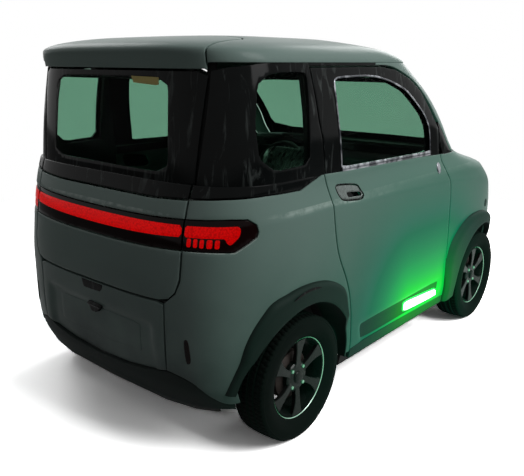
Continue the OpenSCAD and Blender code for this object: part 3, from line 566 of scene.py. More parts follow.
rear_shut, front_shut = bow(door_rear), bow(door_front)
waist_line = mm((200, 1056), (76, 1061), (-304, 1069), (-618, 1076))
quarter_waist = mm((-736, 1079), (-748, 1079), (-801, 1064), (-889, 1039), (-1070, 1042), (-1203, 1038))
handle_edge = eased(mm((-668, 1020), (-650, 1031), (-505, 1014), (-484, 985), (-464, 962), (-486, 945),
    (-628, 960), (-652, 985)), 2, 0.2)
tip = mm((-404, 372), (-440, 366), (-487, 352), (-523, 329), (-564, 278), (-590, 250), (-612, 243),
    (-630, 252))
lamp_angle = np.linspace(0, 2 * math.pi, 49)[:-1]
LAMP_Y, LAMP_Z, LAMP_HOLE = 0.540, 0.727, 0.0935
right_left = ((1, "right"), (-1, "left"))


def lamp_ring(side, radius):
    """Circle round the middle of one headlamp, in front view."""
    return np.stack([side * LAMP_Y + radius * np.cos(lamp_angle), LAMP_Z + radius * np.sin(lamp_angle)], 1)


for side, word in right_left:
    turned = np.array([side, 1])
    door_loop = round_at_x(LOWER, fine(joined(rear_shut, waist_line[::-1], front_shut), 0.02))
    panel("door_skin_" + word, lower_skin, door_loop * turned, body_paint, "door_" + word, depth=0.036,
        holes=(round_at_x(LOWER, fine(handle_edge, 0.012)) * turned,),
        replaces=("door_" + word,))
    quarter_loop = joined(round_at_x(LOWER, joined(shifted(rear_shut, GAP), quarter_waist)),
        round_at_y(LOWER, mm((-472, 1030), (-472, 965))), round_at_x(LOWER, mm((-1200, 972), (-1152, 970),
        (-1124, 949), (-1118, 922), (-1124, 902), (-1163, 876), (-1200, 852))),
        round_at_y(LOWER, joined(mm((-560, 852), (-472, 850), (-472, 740), (-455, 690), (-407, 645),
        (-407, 550), (-409, 450)), bow(tip, 2))), round_at_x(LOWER, joined([(-1.186, 0.300)],
        arch_line(-AXLE_X, 168, -2), [(-0.512, SILL)])))
    panel("quarter_skin_" + word, lower_skin, quarter_loop * turned, body_paint, "root",
          replaces=("quarter_" + word,))
    fender_loop = joined(round_at_x(LOWER, joined(shifted(front_shut, GAP)[::-1], [(0.36, 1.048)])),
        round_at_y(LOWER, mm((-550, 1050), (-527, 1000), (-527, 930), (-527, 840), (-500, 832), (-462, 790),
        (-445, 727), (-455, 680), (-480, 645)), True), round_at_x(LOWER, joined([(1.04, 0.645)],
        arch_line(AXLE_X, 58, 183), [(0.530, SILL)])))
    panel("fender_skin_" + word, lower_skin, fender_loop * turned, body_paint, "root",
          holes=(round_at_y(LOWER, lamp_ring(-1, LAMP_HOLE), True) * turned,),
          replaces=("fender_" + word,))

# Tailgate: the painted lower half of the hatch, pressed steel, hung from the roof. It has a black
# recess for the lamp bar above, and a dark finger pull in the bumper under its lower edge.
gate_edge = mm((-464, 1028), (-464, 965), (-300, 959), (-150, 956), (0, 955), (150, 956), (300, 959),
    (464, 965), (464, 1028), (300, 1020), (-300, 1020))
gate_low = mm((-464, 849), (-464, 745), (-450, 695), (-425, 668), (-380, 656), (-200, 652), (200, 652),
    (380, 656), (425, 668), (450, 695), (464, 745), (464, 849), (300, 843), (150, 839), (0, 838),
    (-150, 839), (-300, 843))
panel("tailgate_skin", lower_skin, round_at_y(LOWER, fine(gate_low, 0.02)), body_paint, "tailgate",
    depth=0.026, replaces=("tailgate",))
panel("tailgate_rail", lower_skin, round_at_y(LOWER, fine(gate_edge, 0.02)), body_paint, "tailgate",
    depth=0.026)


# Rear bumper: a painted moulding between the rear corners. The place for the number plate is a
# wide soft hollow whose edge runs down at its outer end.
def bumper_skin(s, z):
    """The lower body, sunk by up to 16 mm inside a soft-edged box in the middle."""
    p = on_body(LOWER, s, z)
    across_y = 1 / (1 + np.exp((np.abs(p[:, 1]) - 0.335 - 0.10 * np.clip(0.50 - z, 0, 0.1)) / 0.009))
    up_z = 1 / (1 + np.exp((z - 0.548) / 0.007))
    p[:, 0] += 0.017 * across_y * up_z
    return p


bumper_low = mm((-401, 372), (-300, 350), (-170, 333), (0, 326), (170, 333), (300, 350), (401, 372))
panel("rear_bumper_skin", bumper_skin, round_at_y(LOWER, fine(joined(mm((401, 550), (401, 638), (370, 646),
    (200, 643), (-200, 643), (-370, 646), (-401, 638), (-401, 550)), bumper_low), 0.02)), body_paint,
    "root", pitch=0.010, replaces=("rear_bumper",))

# Number plate panel: a blank moulding painted like the bumper, in its hollow, and over it the
# black housing of the plate's lamp.
panel("plate_holder", bumper_skin, round_at_y(LOWER, fine(eased(mm((-265, 405), (265, 405), (265, 530),
    (-265, 530)), 2, 0.06), 0.02)), body_paint, "root", lift=0.002, depth=0.006, edge=0.0015,
    replaces=("plate_panel",))
panel("plate_lamp", bumper_skin, round_at_y(LOWER, fine(eased(mm((48, 552), (-44, 548), (-36, 532),
    (-12, 510), (26, 508), (34, 530)), 1, 0.2), 0.01)), gloss_trim, "root", pitch=0.006, lift=0.016,
    depth=0.020, edge=0.003)
pull_hole = mm((77, 641), (-64, 641), (-58, 622), (-44, 609), (62, 606), (70, 620))
panel("tailgate_pull", bumper_skin, round_at_y(LOWER, fine(pull_hole, 0.012)), gloss_trim, "root",
    pitch=0.008, lift=0.0012, depth=0.004, edge=0.001)

# Rear valance: a bare black moulding under the bumper; its upper edge follows the painted corners.
valance_top = mm((-612, 236), (-595, 243), (-568, 271), (-527, 322), (-490, 345), (-440, 359), (-401, 365),
    (-300, 343), (-170, 326), (0, 319))
valance_loop = joined(valance_top, valance_top[:-1][::-1] * (-1, 1),
    mm((612, 214), (300, 214), (-300, 214), (-612, 214)))
panel("rear_valance_moulding", lower_skin, round_at_y(LOWER, fine(valance_loop, 0.02)), grain_trim, "root",
    lift=-0.004, depth=0.016, replaces=("rear_valance",))

# Reflectors: slim dark red strips let into the rear corners.
reflector_red = mottled("dark_red_reflector_acrylic", (420.0, 0.0), "070202", "120504", 0.10, 0.25,
                        Specular_IOR_Level=0.08)
for side, word in right_left:
    loop = eased(mm((-484, 518), (-502, 520), (-512, 428), (-492, 418)), 2, 0.2)
    panel("reflector_" + word, lower_skin, round_at_y(LOWER, fine(loop, 0.008)) * (side, 1), reflector_red,
        "root", pitch=0.006, lift=0.003, depth=0.012, edge=0.003,
        replaces=("reflectors",) if side > 0 else ())

# Hood: a pressed panel hinged at its rear edge, between the two front wings.
hood_side = []
for y in np.linspace(-0.517, 0.517, 41):
    up = np.linspace(0.70, 1.05, 300)
    x = on_body(LOWER, *round_at_y(LOWER, np.stack([np.full(300, y), up], 1), True).T)[:, 0]
    hood_side.append((y, np.interp(-0.765, -x, up)))
hood_loop = joined(hood_side, mm((517, 950), (517, 840), (490, 838), (452, 800), (438, 727), (452, 672),
    (474, 650), (300, 650), (0, 650), (-300, 650), (-474, 650), (-452, 672), (-438, 727), (-452, 800),
    (-490, 838), (-517, 840), (-517, 950)))


def hood_skin(s, z):
    """The front of the body with two soft folds that run back over the hood, 3 mm high."""
    p = on_body(LOWER, s, z)
    fold = np.exp(-((np.abs(p[:, 1]) - 0.36 - 0.05 * np.clip(p[:, 0] - 0.8, 0, 1)) / 0.018) ** 2)
    p[:, 2] += 0.003 * fold * np.clip((z - 0.74) / 0.08, 0, 1)
    return p


lamp_holes = tuple(round_at_y(LOWER, lamp_ring(side, LAMP_HOLE), True) for side in (1, -1))
panel("hood_skin", hood_skin, round_at_y(LOWER, fine(hood_loop, 0.02), True), body_paint, "hood",
    holes=lamp_holes, replaces=("hood",))


# Front bumper: painted moulding from arch to arch, with a low mouth for the grille and a round
# opening at each side for the lamp.
def front_skin(s, z):
    return on_body(LOWER, s, z)


mouth = eased(mm((-372, 466), (372, 466), (325, 334), (-325, 334)), 2, 0.10)
front_loop = joined(round_at_y(LOWER, mm((-474, 643), (-300, 643), (0, 643), (300, 643), (474, 643),
    (500, 640)), True))
front_side = round_at_x(LOWER, joined([(1.04, 0.638)], arch_line(AXLE_X, 58, 12),
    mm((1200, 250), (1210, 216))))
mirror_side = np.stack([2 * HALF_ROUND - front_side[:, 0], front_side[:, 1]], 1)
under = round_at_y(LOWER, mm((550, 212), (300, 212), (0, 212), (-300, 212), (-550, 212)), True)
front_bumper_loop = joined(front_loop, mirror_side, under, front_side[::-1])
mouth_edge = round_at_y(LOWER, fine(mouth, 0.02), True)
panel("front_bumper_skin", front_skin, fine(front_bumper_loop, 0.02), body_paint, "root",
      holes=(mouth_edge, *lamp_holes), replaces=("front_bumper",))

# Grille: black slats across the mouth in the front bumper.
panel("grille_back", front_skin, mouth_edge, grain_trim, "root", lift=-0.022, depth=0.006,
      replaces=("front_grille",))
for row, z in enumerate((0.362, 0.392, 0.422, 0.450)):
    half = np.interp(z, (0.334, 0.466), (0.318, 0.366)) + 0.003
    slat = [(-half, z - 0.006), (half, z - 0.006), (half, z + 0.006), (-half, z + 0.006)]
    panel("grille_slat_%d" % row, front_skin, round_at_y(LOWER, fine(slat, 0.03), True), gloss_trim, "root",
          pitch=0.02, lift=-0.003, depth=0.020, edge=0.002)

# Roof: one pressed steel cap with a rolled edge, between the windscreen and the spoiler. Its
# sections go by the distance up from the edge; the last columns are squareness and height.
CAP = np.array([
    [-22, 629, 110, -233, -1236, -750, 4.5, 4.5, 1478], [0, 629, 110, -233, -1240, -750, 4.5, 4.5, 1500],
    [48, 610, 5, -340, -1252, -750, 4.2, 4.5, 1545], [115, 547, -125, -475, -1210, -750, 3.4, 4.0, 1575],
    [270, 410, -320, -565, -1060, -740, 2.8, 3.0, 1598], [470, 210, -500, -610, -860, -730, 2.4, 2.4, 1606],
    [680, 1, -659, -660, -662, -661, 2.0, 2.0, 1608]])
CAP[:, [0, 1, 2, 3, 4, 5, 8]] /= 1000
TOP = 0.680


def polar(points):
    """Turns (s, t) on the roof into plane points: the angle is s, the radius is TOP less t."""
    s, t = np.asarray(points, float).T
    return np.stack([(TOP - t) * np.cos(s * math.pi / HALF_ROUND),
        (TOP - t) * np.sin(s * math.pi / HALF_ROUND)], 1)


def cap_skin(p, q):
    """Point of the roof that belongs to a plane point: the angle gives s, the radius TOP less t."""
    return on_body(CAP, np.arctan2(q, p) * HALF_ROUND / math.pi, TOP - np.hypot(p, q))


def seam_line(half, back):
    """The roof seam in (s, t): up each rear corner at y = half, then across at x = back."""
    up = np.linspace(-0.022, 0.40, 600)
    rise = round_at_y(CAP, np.stack([np.full(600, -half), up], 1))
    keep = on_body(CAP, rise[:, 0], up)[:, 0] < back
    out = []
    for y in np.linspace(-half, half, 41):
        row = round_at_y(CAP, np.stack([np.full(600, y), up], 1))
        out.append((row[0, 0], np.interp(back, on_body(CAP, row[:, 0], up)[:, 0], up), y))
    cross = np.concatenate([round_at_y(CAP, [(y, t)]) for _, t, y in out])
    return rise[keep][::12], cross


rise, cross = seam_line(0.497, -0.985)
low_right = rise[0]
arc = np.stack([np.linspace(-low_right[0], low_right[0], 80), np.full(80, -0.022)], 1)
spoiler_loop = joined(polar(arc), polar(rise[1:]), polar(cross[1:-1]), polar((rise * (-1, 1))[::-1][:-1]))
panel("spoiler_skin", cap_skin, fine(grown(spoiler_loop, -0.002), 0.016), body_paint, "tailgate",
    depth=0.012, replaces=("spoiler",))
edge_start = rise[rise[:, 1] >= 0][0]
long_arc = np.stack([np.linspace(edge_start[0], 2 * HALF_ROUND - edge_start[0], 400), np.full(400, 0.0)], 1)
roof_loop = joined(polar(long_arc), polar((rise[rise[:, 1] >= 0] * (-1, 1))[1:]), polar(cross[1:-1][::-1]),
                   polar(rise[rise[:, 1] >= 0][::-1][:-1]))
panel("roof_skin", cap_skin, fine(grown(roof_loop, -0.002), 0.016), body_paint, "root", depth=0.014,
    replaces=("roof",))

# Windscreen pillars and header: painted rails that run from the front wings up to the roof edge
# and over the windscreen.
rail_low = [(-0.30, 1.493), (-0.190, 1.4915), (-0.122, 1.480), (0.012, 1.437), (0.104, 1.387),
    (0.197, 1.307), (0.277, 1.224), (0.365, 1.149), (0.429, 1.082), (0.462, 1.052)]
screen_edge = mm((-632, 1052), (-628, 1100), (-612, 1200), (-587, 1350), (-570, 1438), (-545, 1452),
    (-300, 1456), (0, 1457))
right_low = round_at_x(UPPER, bow(rail_low, 2))
right_top = round_at_y(UPPER, screen_edge, True)
mirror = lambda run: np.stack([2 * HALF_ROUND - run[:, 0], run[:, 1]], 1)[::-1]
top_run = np.stack([np.linspace(2 * HALF_ROUND - right_low[0, 0], right_low[0, 0], 60),
                    np.full(60, 1.502)], 1)
rail_loop = joined(right_low, right_top, mirror(right_top)[1:], mirror(right_low), top_run[1:-1])
panel("pillar_rails", upper_skin, fine(rail_loop, 0.016), body_paint, "root", lift=0.001)

# Window frames: gloss black moulded bands that carry the quarter glass and close the body round
# the tailgate glass, with a small foot in front of each door.
door_top = mm((-709, 1030), (-716, 1085), (-731, 1213), (-751, 1286), (-766, 1390), (-778, 1484),
    (-250, 1484), (-125, 1471), (0, 1430), (95, 1378), (165, 1310), (205, 1265), (240, 1230), (283, 1185),
    (297, 1124), (300, 1030))
door_glass = mm((-603, 1084), (-609, 1162), (-624, 1282), (-633, 1400), (-630, 1436), (-601, 1446),
    (-405, 1450), (-296, 1444), (-176, 1421), (-50, 1381), (37, 1325), (123, 1263), (172, 1201),
    (187, 1149), (196, 1070))
quarter_window = mm((-1068, 1425), (-1021, 1459), (-972, 1467), (-880, 1470), (-815, 1466), (-808, 1440),
    (-817, 1300), (-822, 1131), (-1019, 1125), (-1086, 1173), (-1092, 1290))
glass_side = [(-0.476, 1.030), (-0.480, 1.10), (-0.500, 1.4745)]
frame_rear = shifted(door_top[:6], GAP)
for side, word in right_left:
    turned = np.array([side, 1])
    frame_top = mm((-1140, 1488), (-1000, 1502), (-900, 1502), (-786, 1502))
    rear_frame = joined(round_at_y(UPPER, glass_side), round_at_x(UPPER, frame_top),
                        round_at_x(UPPER, frame_rear[::-1]), round_at_x(UPPER, mm((-900, 1028))))
    panel("quarter_frame_" + word, upper_skin, fine(rear_frame, 0.02) * turned, gloss_trim, "root",
        holes=(round_at_x(UPPER, fine(eased(quarter_window, 1, 0.15), 0.02)) * turned,),
        replaces=("window_frames",) if side > 0 else ())
    header = joined(round_at_x(UPPER, [(-0.785, 1.502), (-0.785, 1.4905), (-0.250, 1.4905), (-0.19, 1.485)]),
                    round_at_x(UPPER, [(-0.22, 1.502)]))
    panel("door_header_" + word, upper_skin, fine(header, 0.02) * turned, gloss_trim, "root",
        lift=-0.001)
    foot = round_at_x(UPPER, joined(mm((306, 1030), (303, 1126), (290, 1186)),
        mm((282, 1216), (365, 1143), (424, 1080), (455, 1045), (450, 1030))))
    panel("pillar_foot_" + word, upper_skin, fine(foot, 0.02) * turned, gloss_trim, "root",
        pitch=0.010)
    door_frame = round_at_x(UPPER, fine(door_top, 0.02))
    panel("door_frame_" + word, upper_skin, door_frame * turned, gloss_trim, "door_" + word, depth=0.030,
        holes=(round_at_x(UPPER, fine(eased(door_glass, 1, 0.15), 0.02)) * turned,))

# Bright mouldings: thin polished strips round the door glass and a wider one at the waist.
polished, tree = new_material("polished_stainless_strip")
place = add(tree, "TexCoord").outputs["Object"]
smear = add(tree, "TexNoise", place, Scale=24.0, Detail=4.0)
bare = add(tree, "MapRange", smear, 0.44, 0.62)
tone = add(tree, "Mix", bare, colour("4a4d52"), colour("a4a7ac"), data_type="RGBA")
rough = add(tree, "MapRange", smear, To_Min=0.12, To_Max=0.28)
shine = add(tree, "BsdfPrincipled", Base_Color=tone, Metallic=1.0, Roughness=rough)
add(tree, "OutputMaterial", shine)


def strip(name, surface, line, width, height, material, body, closed, lift=0.0):
    """A half-round strip laid on a surface: at each point of the line a nine-point arch stands
    on the surface across the line's own direction. It reaches 2 mm into the surface."""
    line = np.asarray(line, float)
    p = surface(line[:, 0], line[:, 1])
    e = 0.002
    n = np.cross(surface(line[:, 0] + e, line[:, 1]) - surface(line[:, 0] - e, line[:, 1]),
                 surface(line[:, 0], line[:, 1] + e) - surface(line[:, 0], line[:, 1] - e))
    n /= np.linalg.norm(n, axis=1)[:, None]
    n *= np.sign(np.sum(n * (p - (0.0, 0.0, 0.9)), 1))[:, None]
    t = (np.roll(p, -1, 0) - np.roll(p, 1, 0)) if closed else np.gradient(p, axis=0)
    c = np.cross(t, n)
    c /= np.linalg.norm(c, axis=1)[:, None]
    a = np.linspace(-math.pi / 2, math.pi / 2, 9)
    u = np.concatenate([np.sin(a) * width / 2, [width / 2 * 0.9, -width / 2 * 0.9]])
    v = np.concatenate([np.cos(a) ** 0.6 * height, [-0.002, -0.002]])
    ring = p[:, None] + c[:, None] * u[None, :, None] + n[:, None] * (v[None, :, None] + lift)
    m, k = len(p), len(u)
    i, j = np.meshgrid(np.arange(m if closed else m - 1), np.arange(k), indexing="ij")
    i2, j2 = (i + 1) % m, (j + 1) % k
    faces = np.stack([i * k + j, i2 * k + j, i2 * k + j2, i * k + j2], -1).reshape(-1, 4)
    centre = ring.mean(1)[:, None]
    q = ring.reshape(-1, 3)
    turn_out = np.cross(q[faces[:, 1]] - q[faces[:, 0]], q[faces[:, 3]] - q[faces[:, 0]])
    if (turn_out * (q[faces].mean(1) - centre[i.ravel(), 0])).sum() < 0:
        faces = faces[:, ::-1]
    faces = [tuple(f) for f in faces.tolist()]
    if not closed:
        ends = [tuple(range(k)), tuple(range((m - 1) * k, m * k))]
        for cap, way in zip(ends, (t[0], -t[-1])):
            pts = q[list(cap)]
            facing = np.cross(pts[2] - pts[0], pts[6] - pts[0]) @ way
            faces.append(cap if facing < 0 else cap[::-1])
    return make_object(name, q, faces, material, body, sharp=50)


# Side and rear glass: tempered safety glass, tinted green-grey; the rear pane is glued to the
# hatch over a wide printed border.
glass_green, tree = new_material("tinted_safety_glass")
place = add(tree, "TexCoord").outputs["Object"]
spots = add(tree, "TexNoise", place, Scale=60.0, Detail=6.0, Roughness=0.7)
film = add(tree, "MapRange", spots, 0.62, 0.80, 0.0, 0.22)
rough = add(tree, "MapRange", spots, To_Min=0.0, To_Max=0.05)
clear = add(tree, "BsdfTransparent", colour("c8dcd2"))
face = add(tree, "BsdfPrincipled", Base_Color=colour("1c2421"), Roughness=rough, Coat_Weight=0.3,
    Coat_Roughness=0.02)
gloss = add(tree, "Fresnel", 1.22)
more = add(tree, "Math", gloss, film, operation="MAXIMUM")
outer = add(tree, "Math", 1.0, add(tree, "NewGeometry").outputs["Backfacing"], operation="SUBTRACT")
most = add(tree, "Math", more, outer, operation="MULTIPLY")
both = add(tree, "MixShader", most, clear, face)
add(tree, "OutputMaterial", both)

for side, word in right_left:
    turned = np.array([side, 1])
    pane = round_at_x(UPPER, fine(eased(door_glass, 1, 0.15), 0.02))
    panel("door_pane_" + word, upper_skin, grown(pane, 0.010) * turned, glass_green, "door_" + word,
        pitch=0.02, lift=-0.010, depth=0.0045, edge=0.001, replaces=("door_glass_" + word,))
    strip("door_glass_trim_" + word, upper_skin, fine(pane, 0.012) * turned, 0.008, 0.004, polished,
        "door_" + word, True)
    waist = round_at_x(UPPER, fine(mm((-604, 1083), (195, 1069)), 0.03)[:28])
    strip("waist_moulding_" + word, upper_skin, waist * turned, 0.024, 0.006, polished, "door_" + word,
        False)
    pane = round_at_x(UPPER, fine(eased(quarter_window, 1, 0.15), 0.02))
    panel("quarter_pane_" + word, upper_skin, grown(pane, 0.008) * turned, glass_green, "root", pitch=0.02,
        lift=-0.004, depth=0.0045, edge=0.001,
        replaces=("quarter_glass",) if side > 0 else ())

rear_pane = [(-0.470, 1.062), (0.470, 1.062), (0.494, 1.4735), (-0.494, 1.4735)]
rear_clear = eased(mm((-350, 1112), (372, 1118), (362, 1448), (-330, 1448)), 3, 0.08)
panel("rear_glass_border", upper_skin, round_at_y(UPPER, fine(eased(rear_pane, 1, 0.04), 0.02)), gloss_trim,
    "tailgate", holes=(round_at_y(UPPER, fine(rear_clear, 0.02)),), lift=-0.001, depth=0.006,
    replaces=("rear_glass",))
panel("rear_glass_pane", upper_skin, round_at_y(UPPER, fine(rear_clear, 0.02)), glass_green, "tailgate",
    pitch=0.02, lift=-0.0016, depth=0.0045, edge=0.0002)

# Lower band of the hatch glass: a gloss black moulding that runs round from one quarter window
# to the other and steps out over the paint.
band = mm((-466, 1034), (-466, 1083), (466, 1083), (466, 1034), (300, 1026), (-300, 1026))
panel("hatch_band", lower_skin, round_at_y(LOWER, fine(band, 0.02)), gloss_trim, "tailgate", lift=0.001,
    edge=0.004)
for side, word in right_left:
    side_run = mm((-1203, 1044), (-1070, 1048), (-889, 1045), (-803, 1070), (-776, 1079), (-840, 1082),
        (-900, 1083), (-1100, 1083), (-1200, 1083))
    loop = joined(round_at_y(LOWER, mm((-474, 1083), (-474, 1036))), round_at_x(LOWER, side_run))
    panel("quarter_band_" + word, lower_skin, loop * (side, 1), gloss_trim, "root", lift=0.001, edge=0.003)

# Windscreen: laminated glass glued between the rails, with a printed border.
screen = joined(round_at_y(UPPER, mm((-628, 1056), (-624, 1100), (-608, 1200), (-583, 1350), (-566, 1436),
    (-543, 1448), (-300, 1452), (0, 1453), (300, 1452), (543, 1448), (566, 1436), (583, 1350), (608, 1200),
    (624, 1100), (628, 1056), (300, 1054), (0, 1054), (-300, 1054)), True))
clear_part = round_at_y(UPPER, fine(eased(mm((-585, 1095), (-540, 1410), (540, 1410), (585, 1095)), 2,
    0.10), 0.02), True)
panel("windscreen_border", upper_skin, fine(screen, 0.02), gloss_trim, "root", holes=(clear_part,),
    lift=-0.005, depth=0.006, replaces=("windscreen",))
panel("windscreen_pane", upper_skin, clear_part, glass_green, "root", pitch=0.024, lift=-0.0056,
    depth=0.005, edge=0.0002)

# Hatch seal: a hollow rubber strip on the body behind each side edge of the hatch glass.
seal_rubber = mottled("black_seal_rubber", (250.0, 3.0), "060707", "0d0e0e", 0.6, 0.9,
                      Specular_IOR_Level=0.08)
for side, word in right_left:
    line = round_at_y(UPPER, fine(mm((-476, 1058), (-500, 1506)), 0.03)[:16])
    strip("hatch_seal_" + word, upper_skin, line * (side, 1), 0.034, 0.007, seal_rubber, "root", False,
        lift=-0.017)

# Wheel-arch flares: dark moulded plastic, clipped and screwed over the cut edges of the arches.
# The outer outline is given round the wheel hub as angle from straight ahead (degrees) and radius.
REAR_FLARE = np.array([(-4, .338), (8, .333), (18, .334), (38, .372), (52, .420), (66, .413), (86, .405),
    (105, .411), (117, .4226), (125, .411), (135, .393), (142, .378), (154, .354), (165, .349),
    (175, .350)])
FRONT_FLARE = np.array([(-7, .402), (15, .392), (40, .386), (62, .389), (81, .396), (100, .415),
    (116, .4446), (130, .471), (147, .496), (158, .480), (166, .452), (180, .424), (187, .424)])
FLARE_Y = 0.7385


def outward(verts, faces):
    """Turns all faces of a closed mesh round where its volume, the sum of a.(b x c)/6 over its
    triangles, comes out below nought."""
    v = np.asarray(verts)
    total = 0.0
    for size in {len(f) for f in faces}:
        f = np.array([g for g in faces if len(g) == size])
        for k in range(1, size - 1):
            total += np.einsum("ij,ij->", v[f[:, 0]], np.cross(v[f[:, k]], v[f[:, k + 1]]))
    return [tuple(g[::-1]) for g in faces] if total < 0 else faces


def tube_faces(rows, ring, start=0, wrap=False):
    """Quads of a grid that is closed round each row, with end caps unless the rows wrap."""
    i, j = np.meshgrid(np.arange(rows if wrap else rows - 1), np.arange(ring), indexing="ij")
    i2, j2 = (i + 1) % rows, (j + 1) % ring
    quads = np.stack([i * ring + j, i2 * ring + j, i2 * ring + j2, i * ring + j2], -1).reshape(-1, 4) + start
    faces = [tuple(f) for f in quads.tolist()]
    if not wrap:
        faces += [tuple(range(start + ring - 1, start - 1, -1)),
                  tuple(range(start + (rows - 1) * ring, start + rows * ring))]
    return faces


def half_width(x, z):
    """Half width of the lower body at a place in side view."""
    s = round_at_x(LOWER, np.stack([x, np.clip(z, 0.211, 1.05)], 1))
    return np.abs(on_body(LOWER, s[:, 0], s[:, 1])[:, 1])


def flare_shape(table, hub_x, side):
    """At each angle a closed loop: the outer face rises from the body along a quarter ellipse,
    runs flat to the wheel opening, rolls over a 5 mm lip and goes back inside."""
    angle = np.linspace(table[0, 0], table[-1, 0], 120)
    reach = pchip(table[:, 0], table[:, 1:], angle)[:, 0]
    v = np.concatenate([np.linspace(0, 0.36, 9), np.linspace(0.46, 0.97, 6)])
    inner = 0.3265
    r = reach[:, None] + (inner - reach[:, None]) * v
    a = np.radians(angle)[:, None]
    x, z = hub_x + r * np.cos(a), HUB_Z + r * np.sin(a)
    base = half_width(x.ravel(), z.ravel()).reshape(x.shape)
    rise = (1 - (1 - np.clip(v / 0.36, 0, 1)) ** 2.2) ** 0.5
    thin = np.clip((reach[:, None] - inner) / 0.035, 0.25, 1)
    y = base - 0.002 + (FLARE_Y - 0.710) * rise * thin
    lip_y = y[:, -1:] - np.array([0.0015, 0.005])
    lip_r = np.array([inner - 0.0005, inner])
    back = np.stack([np.full(len(angle), inner), reach - 0.012, reach - 0.004], 1)
    back_y = np.stack([np.full(len(angle), 0.60), np.full(len(angle), 0.60), base[:, 0] - 0.016], 1)
    r = np.concatenate([r, np.broadcast_to(lip_r, (len(angle), 2)), back], 1)
    y = np.concatenate([y, np.broadcast_to(lip_y, (len(angle), 2)), back_y], 1)
    p = np.stack([hub_x + r * np.cos(a), side * y, HUB_Z + r * np.sin(a)], -1)
    return p.reshape(-1, 3), tube_faces(len(angle), r.shape[1])


for side, word in ((-1, "right"), (1, "left")):
    for table, hub_x, end in ((REAR_FLARE, -AXLE_X, "rear"), (FRONT_FLARE, AXLE_X, "front")):
        verts, faces = flare_shape(table, hub_x, side)
        make_object("flare_%s_%s" % (end, word), verts, outward(verts, faces), grain_trim, "root",
            ("flares_" + word,) if end == "rear" else (), 35)
    a = np.radians(np.linspace(106, 80, 16))
    r = 0.390 - 0.003 * np.linspace(-1, 1, 16) ** 2
    width = 0.0055 * np.clip(1.4 - np.linspace(-1, 1, 16) ** 2 * 1.2, 0.2, 1)
    rows = []
    for dr, dy in ((-1, 0), (0, 1), (1, 0), (0, -3)):
        rr = r + dr * width
        out = side * (0.7392 + 0.0008 * (dy if dy > 0 else 0) - (0.006 if dy < 0 else 0))
        rows.append(np.stack([-AXLE_X + rr * np.cos(a), np.full(16, out), HUB_Z + rr * np.sin(a)], 1))
    verts = np.stack(rows, 1).reshape(-1, 3)
    make_object("flare_slot_" + word, verts, outward(verts, tube_faces(16, 4)), gloss_trim, "root")

# Tyres: radial road tyres, 530 mm across and 155 wide. The tread has three grooves round it and
# angled sipes; the rubber is matt and mottled.
tyre_rubber = mottled("moulded_tyre_rubber", (22.0, 8.0), "060707", "131514", 0.62, 0.88, (0.2, 0.0008),
                      (500.0, 2.0), 0.10, Specular_IOR_Level=0.03)

# Wheels: cast alloy, painted gloss black, with the faces of the six spokes and the outer lip
# turned bright on a lathe; fine turning rings show in the gloss.
# The black paint carries the painted green glow of the door strip, as emission.
black_alloy = mottled("black_painted_cast_alloy", (30.0, 5.0), "0a0b0b", "191b1a", 0.18, 0.40, spill=0.16,
                      Coat_Weight=0.15, Coat_Roughness=0.06, Specular_IOR_Level=0.1)
bright_alloy, tree = new_material("lathe_turned_alloy")
place = add(tree, "TexCoord").outputs["Object"]
folded = add(tree, "VectorMath", place, operation="ABSOLUTE")
centred = add(tree, "VectorMath", folded, (AXLE_X, 0.0, HUB_Z), operation="SUBTRACT")
level_out = add(tree, "VectorMath", centred, (1.0, 0.0, 1.0), operation="MULTIPLY")
radius = add(tree, "VectorMath", level_out, operation="LENGTH")
rings = add(tree, "TexNoise", W=radius, Scale=1400.0, noise_dimensions="1D")
cloud = add(tree, "TexNoise", place, Scale=25.0, Detail=4.0)
tone = add(tree, "Mix", cloud, colour("8b9290"), colour("a9b0ae"), data_type="RGBA")
rough = add(tree, "MapRange", cloud, To_Min=0.20, To_Max=0.34)
bump = add(tree, "Bump", Height=rings, Strength=0.15, Distance=0.0003)
# Painted green glow of the door strip on the turned faces, as emission.
glow, glow_level = led_glow(tree, place, 6.0, 0.26, 0.34)
metal = add(tree, "BsdfPrincipled", Base_Color=tone, Metallic=1.0, Roughness=rough, Normal=bump,
    Emission_Color=glow, Emission_Strength=glow_level)
add(tree, "OutputMaterial", metal)
cast_iron = mottled("rusty_cast_iron", (40.0, 8.0), "1c1b1a", "3a3029", 0.55, 0.8, (0.2, 0.001),
                    Metallic=0.4)

HUB_Y = 0.6375


def turned_ring(profile, count):
    """Spins a closed profile of (radius, outward place) round the wheel's axle."""
    profile = np.asarray(profile, float)
    a = np.linspace(0, 2 * math.pi, count + 1)[:-1][:, None]
    p = np.stack([profile[:, 0] * np.cos(a), np.broadcast_to(profile[:, 1], (count, len(profile))),
        profile[:, 0] * np.sin(a)], -1)
    return p.reshape(-1, 3), tube_faces(count, len(profile), wrap=True)


